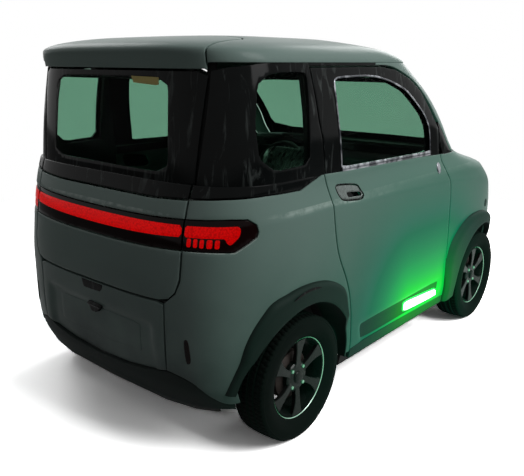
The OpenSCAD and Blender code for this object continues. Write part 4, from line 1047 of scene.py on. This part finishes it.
def tyre_surface(count=288):
    """Outer wall, shoulder and tread as one closed loop swept round; the tread sinks 6 mm in
    three round grooves and 4 mm in 72 slanted sipes."""
    w = np.linspace(-0.0630, 0.0630, 64)
    crown = 0.2652 - 0.0035 * (w / 0.063) ** 2
    wall = np.array([(0.2575, 0.0690), (0.2480, 0.0735), (0.2460, 0.0728), (0.2380, 0.0752),
        (0.2250, 0.0772), (0.2110, 0.0770), (0.2090, 0.0762), (0.2000, 0.0745), (0.1880, 0.0690),
        (0.1790, 0.0640), (0.1740, 0.0605), (0.1700, 0.0560)])
    r = np.concatenate([crown, wall[:, 0], [0.160, 0.160], wall[::-1, 0]])
    y = np.concatenate([w, wall[:, 1], [0.050, -0.050], -wall[::-1, 1]])
    a = np.linspace(0, 2 * math.pi, count + 1)[:-1][:, None]
    on_tread = np.concatenate([np.ones(64), np.zeros(len(r) - 64)])
    groove = sum(np.clip(1.6 - np.abs(y - g) / 0.0032, 0, 1) for g in (-0.030, 0.0, 0.030))
    swing = a * 72 + np.abs(y) / 0.063 * 5.0
    sipe = np.clip((np.cos(swing) - 0.55) * 4, 0, 1) * np.clip((np.abs(y) - 0.006) / 0.003, 0, 1)
    sink = on_tread * np.maximum(0.006 * groove, 0.004 * sipe)
    rr = r - sink
    p = np.stack([rr * np.cos(a), np.broadcast_to(y, rr.shape), rr * np.sin(a)], -1)
    return p.reshape(-1, 3), tube_faces(count, len(r), wrap=True)


# Spokes: six, 26 mm wide at the hub and 60 at the lip, each with a slight bend near its end.
# Columns: radius, half width, sideways shift, place of the face outwards from the wheel's middle.
SPOKE = np.array([(0.034, 0.0150, 0.000, 0.0440), (0.060, 0.0125, 0.000, 0.0475),
    (0.085, 0.0125, 0.000, 0.0500), (0.108, 0.0145, 0.001, 0.0520), (0.128, 0.0180, 0.003, 0.0535),
    (0.146, 0.0235, 0.006, 0.0545), (0.1625, 0.0290, 0.009, 0.0550)])


def spoke_surface():
    """Each spoke is a bar of seven stations; its section is a flat face, two chamfers and two
    walls 20 mm deep. The six stand 60 degrees apart."""
    u = np.array([-1, 1, 1.12, 1.0, -1.0, -1.12])
    d = np.array([0, 0, -0.003, -0.020, -0.020, -0.003])
    parts, faces = [], []
    for k in range(6):
        turn_by = math.radians(60 * k + 30)
        side_way = SPOKE[:, 2:3] + SPOKE[:, 1:2] * u
        out = SPOKE[:, 3:4] + d
        x = SPOKE[:, :1] * math.cos(turn_by) - side_way * math.sin(turn_by)
        z = SPOKE[:, :1] * math.sin(turn_by) + side_way * math.cos(turn_by)
        faces += tube_faces(7, 6, k * 42)
        parts.append(np.stack([x, out, z], -1).reshape(-1, 3))
    return np.concatenate(parts), faces


def nut_surface():
    """Four hexagon nuts with domed ends on a 100 mm circle."""
    parts, faces, start = [], [], 0
    for k in range(4):
        a = math.radians(90 * k + 45)
        ring = np.radians(np.arange(0, 360, 60) + 30)
        for_rows = np.array([(0.0085, 0.030), (0.0085, 0.047), (0.0070, 0.050), (0.0030, 0.0515)])
        p = np.stack([0.050 * math.cos(a) + for_rows[:, :1] * np.cos(ring), np.broadcast_to(for_rows[:, 1:],
            (4, 6)), 0.050 * math.sin(a) + for_rows[:, :1] * np.sin(ring)], -1)
        parts.append(p.reshape(-1, 3))
        faces += tube_faces(4, 6, start)
        start += 24
    return np.concatenate(parts), faces


lip = [(0.1660, 0.0520), (0.1690, 0.0560), (0.1720, 0.0575), (0.1745, 0.0570), (0.1750, 0.0545),
    (0.1725, 0.0510), (0.1690, 0.0480)]
barrel = [(0.1685, 0.0500), (0.1660, 0.0515), (0.1600, 0.0480), (0.1560, 0.0300), (0.1520, 0.0100),
    (0.1500, -0.0500), (0.1680, -0.0600), (0.1740, -0.0600), (0.1740, -0.0540), (0.1640, -0.0500),
    (0.1590, 0.0000), (0.1640, 0.0400)]
hub = [(0.0010, 0.0560), (0.0120, 0.0555), (0.0230, 0.0535), (0.0265, 0.0500), (0.0270, 0.0470),
    (0.0400, 0.0460), (0.0580, 0.0430), (0.0640, 0.0380), (0.0640, 0.0200), (0.0010, 0.0200)]
cap = [(0.0005, 0.0590), (0.0100, 0.0588), (0.0200, 0.0575), (0.0245, 0.0545), (0.0250, 0.0500),
    (0.0005, 0.0500)]
drum = mm((20, 18), (90, 16), (100, 10), (102, -20), (100, -30), (20, -30))
for fore, end in ((1, "front"), (-1, "rear")):
    for side, word in ((1, "left"), (-1, "right")):
        body = "wheel_%s_%s" % (end, word)
        for name, (verts, faces), material, slot, stands_for in (
                ("tyre", tyre_surface(), tyre_rubber, "tyre", ("tyre_%s_%s" % (end, word),)),
                ("rim_barrel", turned_ring(barrel, 96), black_alloy, "alloy", ("rim_%s_%s" % (end, word),)),
                ("rim_lip", turned_ring(lip, 96), bright_alloy, "alloy", ()),
                ("rim_hub", turned_ring(hub, 64), black_alloy, "alloy", ()),
                ("hub_cap", turned_ring(cap, 48), black_alloy, "alloy", ()),
                ("wheel_nuts", nut_surface(), bright_alloy, "alloy", ()),
                ("brake_drum", turned_ring(drum, 64), cast_iron, "chassis", ()),
                ("rim_spokes", spoke_surface(), black_alloy, "alloy", ())):
            placed = verts * (fore, side, 1) + (fore * AXLE_X, side * HUB_Y, HUB_Z)
            made = make_object("%s_%s_%s" % (name, end, word), placed, outward(placed, faces), material,
                body, stands_for, 30)
            if name == "rim_spokes":
                made.data.materials.append(bright_alloy)
                normal = np.zeros(len(made.data.polygons) * 3)
                made.data.polygons.foreach_get("normal", normal)
                made.data.polygons.foreach_set("material_index", (normal[1::3] * side > 0.9).astype(int))

# Tail lamp: one smoked acrylic cover right across the car in three pieces, the middle one on the
# hatch. Behind it a red light guide glows as a strip, with five short bars at each outer end.
smoked = mottled("smoked_lamp_acrylic", (12.0, 5.0), "090202", "160303", 0.04, 0.12,
                 Specular_IOR_Level=0.06)


def lit_guide(name, cells, bright, dull, low, high, shine):
    """Red acrylic whose cells glow from bright to dull."""
    made, tree = new_material(name)
    facets = add(tree, "TexVoronoi", add(tree, "TexCoord").outputs["Object"], Scale=cells)
    power = add(tree, "MapRange", facets, To_Min=bright, To_Max=dull)
    rough = add(tree, "MapRange", facets, To_Min=low, To_Max=high)
    coat = add(tree, "BsdfPrincipled", Base_Color=colour("200000"), Roughness=rough,
        Specular_IOR_Level=shine, Emission_Color=(1.0, 0.0, 0.0, 1), Emission_Strength=power)
    add(tree, "OutputMaterial", coat)
    return made


guide = lit_guide("lit_red_light_guide", 110.0, 1.5, 0.95, 0.08, 0.2, 0.0)
dim_guide = lit_guide("dim_red_light_guide", 160.0, 0.62, 0.25, 0.1, 0.3, 0.05)


def glow_skirt(name, shape, body, turned, wide):
    """Painted red glow round a lit strip, standing in for its light spreading in the cover: the same
    outline grown, a little deeper, in the dim guide.
    """
    panel(name, lower_skin, grown(shape, wide) * turned, dim_guide, body, pitch=0.008, lift=-0.0005,
        depth=0.003, edge=0.0004)


def band_loop(low, high, half):
    """Outline from -half to half across the car between two curves; each is given as its height
    in the middle and its rise, and stands at height + rise * (y / 0.46)^2."""
    y = np.linspace(-half, half, 33)
    curve = lambda height, rise: np.stack([y, height + rise * (y / 0.46) ** 2], 1)
    return joined(curve(*low), curve(*high)[::-1])


cover_edge = round_at_y(LOWER, fine(band_loop((0.842, 0.011), (0.951, 0.010), 0.463), 0.02))
panel("lamp_cover_middle", lower_skin, cover_edge, smoked, "tailgate", lift=-0.003, depth=0.010,
      replaces=("light_bar",))
strip_edge = round_at_y(LOWER, fine(eased(band_loop((0.889, 0.015), (0.931, 0.008), 0.456), 1), 0.02))
panel("lamp_strip_middle", lower_skin, strip_edge, guide, "tailgate", pitch=0.010, lift=-0.0022,
      depth=0.004, edge=0.0006)
glow_skirt("lamp_glow_halo_middle", strip_edge, "tailgate", (1, 1), 0.0035)
for side, word in right_left:
    turned = np.array([side, 1])
    cover = joined(round_at_y(LOWER, mm((-468, 853), (-468, 962))), round_at_x(LOWER, [(-1.200, 0.9690),
        (-1.154, 0.9665), (-1.127, 0.947), (-1.121, 0.922), (-1.127, 0.904), (-1.165, 0.8785),
        (-1.201, 0.8555)]), round_at_y(LOWER, [(-0.56, 0.8555)]))
    panel("lamp_cover_" + word, lower_skin, fine(cover, 0.02) * turned, smoked, "root", lift=-0.003,
        depth=0.010, replaces=("tail_lamps",) if side > 0 else ())
    hook = joined(round_at_y(LOWER, mm((-476, 905), (-476, 939))), round_at_x(LOWER, [(-1.184, 0.9435),
        (-1.179, 0.936), (-1.184, 0.912), (-1.209, 0.884), (-1.216, 0.888), (-1.221, 0.907)]))
    hook = eased(fine(hook, 0.02), 1)
    panel("lamp_strip_" + word, lower_skin, hook * turned, guide, "root", pitch=0.008, lift=-0.0022,
        depth=0.004, edge=0.0006)
    glow_skirt("lamp_glow_halo_" + word, hook, "root", turned, 0.003)
    bars = ((0.484, 0.499), (0.508, 0.522), (0.530, 0.544), (0.553, 0.571), (0.578, 0.592))
    for bar, (a, b) in enumerate(bars):
        shape = round_at_y(LOWER, eased([(-a, 0.868), (-a, 0.899), (-b, 0.899), (-b, 0.868)], 2, 0.15))
        panel("lamp_bar_%d_%s" % (bar, word), lower_skin, shape * turned, dim_guide, "root", pitch=0.006,
            lift=-0.0022, depth=0.004, edge=0.0006)

# Headlamps: a clear round lens in each front corner, over a chromed bowl and a projector.
lens_clear, tree = new_material("clear_polycarbonate_lens")
place = add(tree, "TexCoord").outputs["Object"]
haze = add(tree, "TexNoise", place, Scale=30.0, Detail=4.0)
rough = add(tree, "MapRange", haze, To_Min=0.0, To_Max=0.06)
through = add(tree, "BsdfTransparent", colour("eef2f2"))
face = add(tree, "BsdfPrincipled", Base_Color=colour("c8cccc"), Roughness=rough)
gloss = add(tree, "Fresnel", 1.58)
outer = add(tree, "Math", 1.0, add(tree, "NewGeometry").outputs["Backfacing"], operation="SUBTRACT")
most = add(tree, "Math", gloss, outer, operation="MULTIPLY")
both = add(tree, "MixShader", most, through, face)
add(tree, "OutputMaterial", both)

for side, word in ((1, "left"), (-1, "right")):
    ring = lambda radius: round_at_y(LOWER, lamp_ring(side, radius), True)
    panel("headlamp_lens_" + word, front_skin, ring(0.0895), lens_clear, "root", pitch=0.010, lift=-0.002,
        depth=0.003, edge=0.001, replaces=("headlamps",) if side > 0 else ())
    panel("headlamp_bowl_" + word, front_skin, ring(0.0895), polished, "root", pitch=0.012, lift=-0.034,
        depth=0.004)
    strip("headlamp_bezel_" + word, front_skin, fine(ring(0.089), 0.008), 0.010, 0.003, gloss_trim, "root",
        True)
    for name, radius, lift, material in (("projector_rim", 0.040, -0.016, gloss_trim),
            ("projector", 0.033, -0.012, lens_clear)):
        panel("headlamp_%s_%s" % (name, word), front_skin, ring(radius), material, "root", pitch=0.008,
            lift=lift, depth=0.016, edge=0.006)
    strip("day_light_" + word, front_skin, fine(ring(0.066), 0.008), 0.008, 0.004, lens_clear, "root", True,
        lift=-0.028)

# Door pulls: a plated paddle in a rounded cup, hinged at its top, with a dark gap for the fingers.
paddle_metal = mottled("satin_plated_zinc", (60.0, 6.0), "4a524f", "7d8683", 0.18, 0.36, Metallic=0.9)
finger_gap = eased(mm((-592, 990), (-484, 979), (-478, 962), (-582, 969)), 2, 0.15)
for side, word in right_left:
    turned = np.array([side, 1])
    body = "door_" + word
    cup = round_at_x(LOWER, fine(handle_edge, 0.012))
    panel("handle_cup_" + word, lower_skin, grown(cup, 0.004) * turned, gloss_trim, body, pitch=0.010,
        lift=-0.024, depth=0.004, replaces=("door_trim_" + word,))
    gap_edge = round_at_x(LOWER, fine(finger_gap, 0.008)) * turned
    panel("handle_paddle_" + word, lower_skin, grown(cup, -0.004) * turned, paddle_metal, body, pitch=0.008,
          lift=-0.001, depth=0.010, edge=0.004, holes=(gap_edge,))
    strip("handle_edge_" + word, lower_skin, fine(cup, 0.008) * turned, 0.004, 0.0014, gloss_trim, body,
        True)
    a = np.linspace(0, 2 * math.pi, 33)[:-1]
    oval = np.stack([0.262 + 0.020 * np.cos(a), 0.988 + 0.028 * np.sin(a)], 1)
    panel("door_cap_" + word, lower_skin, round_at_x(LOWER, oval) * turned, polished, body, pitch=0.005,
        lift=0.004, depth=0.006, edge=0.0035)
    mark = np.stack([0.961 + 0.024 * np.cos(a), 0.697 + 0.024 * np.sin(a)], 1)
    panel("wing_cap_" + word, lower_skin, round_at_x(LOWER, mark) * turned, grain_trim, "root", pitch=0.006,
        lift=0.002, depth=0.006, edge=0.002)


# Lit strip low in each door: a clear tube in the hollow of the door, white at its core and green
# round it; it is on in the photograph.
def lit_tube(name, dots, tone, light, low, high):
    """Glowing tube: its light goes unevenly from low to high along it."""
    made, tree = new_material(name)
    spots = add(tree, "TexNoise", add(tree, "TexCoord").outputs["Object"], Scale=dots)
    power = add(tree, "MapRange", spots, To_Min=low, To_Max=high)
    coat = add(tree, "BsdfPrincipled", Base_Color=colour(tone), Roughness=0.3, Emission_Color=light,
               Emission_Strength=power)
    add(tree, "OutputMaterial", coat)
    return made


tube_core = lit_tube("lit_white_green_tube", 70.0, "dfffe8", (0.75, 1.0, 0.82, 1), 2.2, 3.2)
tube_edge = lit_tube("lit_green_tube_edge", 50.0, "0aff3c", (0.02, 1.0, 0.10, 1), 1.1, 1.6)
for side, word in right_left:
    turned = np.array([side, 1])
    shape = mm((-16, 346), (330, 321), (352, 312), (358, 276), (-8, 292))
    tube = round_at_x(LOWER, fine(eased(shape, 2, 0.12), 0.02))
    panel("light_tube_" + word, lower_skin, grown(tube, -0.002) * turned, tube_core, "door_" + word,
        pitch=0.010, lift=0.010, depth=0.012, edge=0.005)
    panel("light_tube_edge_" + word, lower_skin, grown(tube, 0.006) * turned, tube_edge, "door_" + word,
        pitch=0.010, lift=0.005, depth=0.010, edge=0.004)
    inset = eased(mm((-426, 362), (-426, 328), (-408, 277), (348, 277), (366, 328), (366, 362)), 2, 0.12)
    panel("sill_inset_" + word, lower_skin, round_at_x(LOWER, fine(inset, 0.02)) * turned, grain_trim,
        "door_" + word, lift=0.001, depth=0.003, edge=0.001)
    sill = mm((-500, 262), (-390, 268), (-100, 266), (200, 262), (446, 256), (452, 222), (440, 213),
        (-500, 216))
    panel("sill_trim_" + word, lambda s, z: on_body(LOWER, s, np.maximum(z, 0.2105)),
        round_at_x(LOWER, fine(sill, 0.02)) * turned, grain_trim, "door_" + word, lift=0.002, depth=0.016,
        edge=0.003)

# Seats: moulded foam on a steel pan, covered in black vinyl, and still wrapped in the clear film
# they were delivered in. The film lies in long creases; their highlights are painted into the
# colour, pale along each crease and in broad patches.
wrapped_vinyl, tree = new_material("black_vinyl_under_clear_film")
place = add(tree, "TexCoord").outputs["Object"]
pull = add(tree, "Mapping", place, Rotation=(0.5, 0.3, 0.7), Scale=(3.0, 11.0, 4.0))
folds = add(tree, "TexNoise", pull, Scale=1.6, Detail=6.0, Roughness=0.62, Distortion=1.6)
off = add(tree, "Math", folds, 0.5, operation="SUBTRACT")
away = add(tree, "Math", off, operation="ABSOLUTE")
# Painted highlights of the film: pale along each crease ridge and in broad patches.
ridge = add(tree, "MapRange", away, 0.0, 0.022, 1.0, 0.0)
broad = add(tree, "MapRange", folds, 0.46, 0.72, 0.0, 0.34)
pale = add(tree, "Math", ridge, 0.55, broad, operation="MULTIPLY_ADD")
tone = add(tree, "Mix", pale, colour("0e1010"), colour("b9c1be"), data_type="RGBA")
rough = add(tree, "MapRange", folds, To_Min=0.12, To_Max=0.45)
bump = add(tree, "Bump", Height=folds, Strength=0.6, Distance=0.01)
coat = add(tree, "BsdfPrincipled", Base_Color=tone, Roughness=rough, Normal=bump, Coat_Weight=0.6,
    Coat_Roughness=0.12)
add(tree, "OutputMaterial", coat)


def soft_box(half, squareness, rows=40):
    """Super-ellipsoid: each axis is the half size times a signed power of the sphere's own cosine
    or sine, so a small power gives flat faces with round edges."""
    u = np.linspace(0, 2 * math.pi, 4 * rows, endpoint=False)
    v = np.linspace(-math.pi / 2, math.pi / 2, 2 * rows + 1)[1:-1]
    power = lambda t: np.sign(t) * np.abs(t) ** squareness
    vv, uu = np.meshgrid(v, u, indexing="ij")
    p = np.stack([power(np.cos(vv)) * power(np.cos(uu)), power(np.cos(vv)) * power(np.sin(uu)),
        power(np.sin(vv))], 2)
    p = np.concatenate([p.reshape(-1, 3), [[0, 0, -1], [0, 0, 1]]]) * half
    n, m = p.shape[0] - 2, len(u)
    grid = np.arange(n).reshape(len(v), m)
    turned = np.roll(grid, -1, 1)
    quads = np.stack([grid[:-1], turned[:-1], turned[1:], grid[1:]], 2).reshape(-1, 4).tolist()
    caps = [(n, b, a) for a, b in zip(grid[0], turned[0])]
    caps += [(n + 1, a, b) for a, b in zip(grid[-1], turned[-1])]
    return p, quads + caps


def leaned(points, centre, lean):
    """Turns points about the cross axis by the lean and moves them to their centre."""
    c, s = math.cos(lean), math.sin(lean)
    return points @ np.array([[c, 0, -s], [0, 1, 0], [s, 0, c]]).T + centre


def cushion(name, centres, half, lean, channels):
    """Foam form swelled as cloth by inner pressure, each point held within 22 mm of its start, then
    sewn: the top is drawn in by 7 mm * exp(-(d / 6 mm)^2) with the distance d from each seam."""
    verts, faces = soft_box(np.array(half) - 0.012, 0.30)
    mesh = bpy.data.meshes.new(name)
    mesh.from_pydata(verts.tolist(), [], faces)
    form = bpy.data.objects.new(name, mesh)
    bpy.context.collection.objects.link(form)
    remesh = form.modifiers.new("remesh", "REMESH")
    voxel, frames, most_move = 0.0105, 16, 0.022
    remesh.mode, remesh.voxel_size = "VOXEL", voxel
    solid = bpy.data.meshes.new_from_object(form.evaluated_get(bpy.context.evaluated_depsgraph_get()))
    form.modifiers.clear()
    form.data = solid
    start = np.empty(len(solid.vertices) * 3)
    solid.vertices.foreach_get("co", start)
    start = start.reshape(-1, 3)
    end = start.copy()
    swell = form.modifiers.new("cloth", "CLOTH")
    swell.settings.use_pressure, swell.settings.uniform_pressure_force = True, 4.0
    swell.settings.effector_weights.gravity = 0.0
    swell.point_cache.frame_start, swell.point_cache.frame_end = 1, frames
    for step in range(1, frames + 1):
        bpy.context.scene.frame_set(step)
    done = form.evaluated_get(bpy.context.evaluated_depsgraph_get())
    flat = np.empty(len(done.data.vertices) * 3)
    done.data.vertices.foreach_get("co", flat)
    form.modifiers.clear()
    bpy.context.scene.frame_set(1)
    move = flat.reshape(-1, 3) - start
    far = np.linalg.norm(move, axis=1, keepdims=True)
    end = start + move * np.minimum(1, most_move / np.maximum(far, 1e-6))
    normal = np.empty(len(solid.vertices) * 3)
    solid.vertices.foreach_get("normal", normal)
    normal = normal.reshape(-1, 3)
    thin = int(np.argmin(half))
    long_way = 1 if thin != 1 else 0
    face = np.clip(normal[:, thin], 0, 1) ** 2
    draw = np.zeros(len(end))
    for seam in channels:
        draw = np.maximum(draw, np.exp(-((end[:, long_way] - seam) / 0.006) ** 2))
    other = 2 if thin == 0 else 0
    edge = np.maximum(np.abs(end[:, long_way]) - (half[long_way] - 0.075),
                      np.abs(end[:, other]) - (half[other] - 0.055))
    inner = 1 / (1 + np.exp(edge / 0.004))
    draw = np.maximum(draw * inner, np.exp(-(edge / 0.006) ** 2))
    end = end - normal * (0.007 * draw * face)[:, None]
    size = np.max(np.abs(end), axis=0)
    end = end * np.minimum(1, (np.array(half) + 0.006) / size)
    bpy.data.objects.remove(form)
    polygons = [tuple(p.vertices) for p in solid.polygons]
    made = []
    for word, centre in centres:
        piece = make_object(name + word, leaned(end, centre, lean), polygons, wrapped_vinyl, "root",
            sharp=180)
        smooth = piece.modifiers.new("smooth", "SUBSURF")
        smooth.levels = smooth.render_levels = 1
        made.append(piece)
    return made


def block(name, centre, half, lean, material, squareness=0.16):
    """One rounded moulding: a soft box leaned about the cross axis."""
    verts, faces = soft_box(np.array(half), squareness, 16)
    return make_object(name, leaned(verts, centre, lean), faces, material, "root", sharp=180)


both = (("_left", (0, 0.300, 0)), ("_right", (0, -0.300, 0)))
place_at = lambda x, z: [(word, np.array([x, shift[1], z])) for word, shift in both]
base = cushion("seat_cushion", place_at(-0.148, 0.572), (0.215, 0.228, 0.058), 0.0,
    (-0.10, -0.033, 0.033, 0.10))
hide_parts("front_seats")
cushion("seat_back", place_at(-0.442, 0.862), (0.052, 0.228, 0.290), -0.255, (-0.10, -0.033, 0.033, 0.10))
for word, shift in both:
    block("seat_pan" + word, (-0.21, shift[1], 0.405), (0.185, 0.165, 0.110), 0, grain_trim)
rear = cushion("rear_cushion", [("", np.array([-0.798, 0, 0.566]))], (0.178, 0.492, 0.082), 0.0,
    (-0.30, -0.15, 0.0, 0.15, 0.30))
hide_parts("rear_seat")
cushion("rear_back", [("", np.array([-1.050, 0, 0.840]))], (0.045, 0.492, 0.238), -0.215,
    (-0.30, -0.15, 0.0, 0.15, 0.30))

# Dashboard: one long moulding in grained black plastic right across the cabin, bolted to the tub,
# with an instrument display before the driver, a screen in the middle and an air vent at each end.
profile = eased(mm((516, 560), (516, 930), (500, 952), (420, 954), (374, 935), (347, 885), (343, 815),
    (366, 765), (374, 700), (356, 610), (385, 562)), 2, 0.2)
stations = np.array([-0.565, -0.563, -0.555, -0.53, -0.3, -0.12, 0.12, 0.3, 0.53, 0.555, 0.563, 0.565])
shrink = np.array([0.90, 0.96, 0.99, 1, 1, 1, 1, 1, 1, 0.99, 0.96, 0.90])
middle = profile.mean(0)
rings = middle + (profile[None] - middle) * shrink[:, None, None]
verts = np.stack([rings[:, :, 0], np.broadcast_to(stations[:, None], rings.shape[:2]), rings[:, :, 1]], 2)
count = len(profile)
grid = np.arange(len(stations) * count).reshape(len(stations), count)
turned = np.roll(grid, -1, 1)
sides = np.stack([grid[:-1], grid[1:], turned[1:], turned[:-1]], 2).reshape(-1, 4).tolist()
make_object("dashboard_moulding", verts.reshape(-1, 3), sides + [grid[0].tolist(), grid[-1][::-1].tolist()],
    grain_trim, "root", replaces=("dashboard",))
block("instrument_hood", (0.372, 0.300, 0.925), (0.030, 0.135, 0.028), 0.0, grain_trim)
block("instrument_display", (0.352, 0.300, 0.905), (0.010, 0.110, 0.034), -0.25, gloss_trim)
block("middle_screen", (0.345, 0.0, 0.868), (0.008, 0.105, 0.060), -0.12, gloss_trim)
for side, word in ((1, "left"), (-1, "right")):
    block("vent_frame_" + word, (0.350, side * 0.475, 0.878), (0.012, 0.058, 0.034), -0.12, gloss_trim)
    for bar in range(4):
        block("vent_bar_%d_%s" % (bar, word), (0.339, side * 0.475, 0.858 + 0.0135 * bar),
            (0.006, 0.050, 0.0022), 0.2, grain_trim, 0.3)

# Masking tape: a short strip of yellow paper tape, blank, stuck inside the hatch glass near its top.
paper_tape = mottled("yellow_paper_tape", (300.0, 3.0), "857843", "b1a25e", 0.6, 0.85, (0.3, 0.0004))
tape = mm((-135, 1452), (-285, 1449), (-288, 1424), (-275, 1421), (-150, 1428), (-142, 1440))
panel("masking_tape", upper_skin, round_at_y(UPPER, fine(tape, 0.012)), paper_tape, "tailgate", pitch=0.012,
    lift=0.0006, depth=0.0008, edge=0.0002)


# Structure left as made in the solids: welded and painted steel, cast aluminium, moulded plastic.
# Each finish has road dirt in patches and a fine grain.
def rough_finish(name, dark, light, dirt, grain, metal, low, high):
    """Mottled finish: fine grain moves the colour between two tones, wide patches lay dirt on it."""
    made, tree = new_material(name)
    place = add(tree, "TexCoord").outputs["Object"]
    fine_grain = add(tree, "TexNoise", place, Scale=grain, Detail=4.0)
    patches = add(tree, "TexNoise", place, Scale=6.0, Detail=6.0)
    tone = add(tree, "Mix", fine_grain, colour(dark), colour(light), data_type="RGBA")
    amount = add(tree, "MapRange", patches, 0.45, 0.8, To_Max=0.5)
    soiled = add(tree, "Mix", amount, tone, colour(dirt), data_type="RGBA")
    rough = add(tree, "MapRange", patches, To_Min=low, To_Max=high)
    bump = add(tree, "Bump", Height=fine_grain, Strength=0.25, Distance=0.0006)
    coat = add(tree, "BsdfPrincipled", Base_Color=soiled, Roughness=rough, Metallic=metal, Normal=bump,
        Specular_IOR_Level=0.3)
    add(tree, "OutputMaterial", coat)
    return made


for names, name, dark, light, dirt, grain, metal, low, high in (
        (("tub",), "black_shell_coating", "0d0f0f", "171a1a", "26241f", 900, 0.0, 0.55, 0.85),
        (("motor", "knuckle_left", "knuckle_right"),
         "cast_aluminium", "6f7375", "8c9092", "4a443c", 500, 0.9, 0.35, 0.6),
        (("front_axle", "rear_axle"), "black_axle_paint", "111212", "1d1f1f", "3a352d", 700, 0.0, 0.4, 0.7),
        (("battery",), "powder_coated_case", "3b3f42", "4b5054", "3a352d", 1100, 0.0, 0.45, 0.65),
        (("hinges",), "blackened_hinge_steel", "121414", "202323", "2a2722", 600, 0.6, 0.3, 0.5),
        (("cowl",), "moulded_cowl_plastic", "101212", "1a1d1d", "2a2924", 1200, 0.0, 0.5, 0.75),
        (("steering_wheel",), "stitched_grip_vinyl", "0d0e0e", "1b1d1d", "202020", 800, 0.0, 0.35, 0.6)):
    finish = rough_finish(name, dark, light, dirt, grain, metal, low, high)
    for held in [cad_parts[node] for node in names]:
        for solid in held if isinstance(held, (list, tuple)) else (held,):
            for place in range(len(solid.data.materials)):
                solid.data.materials[place] = finish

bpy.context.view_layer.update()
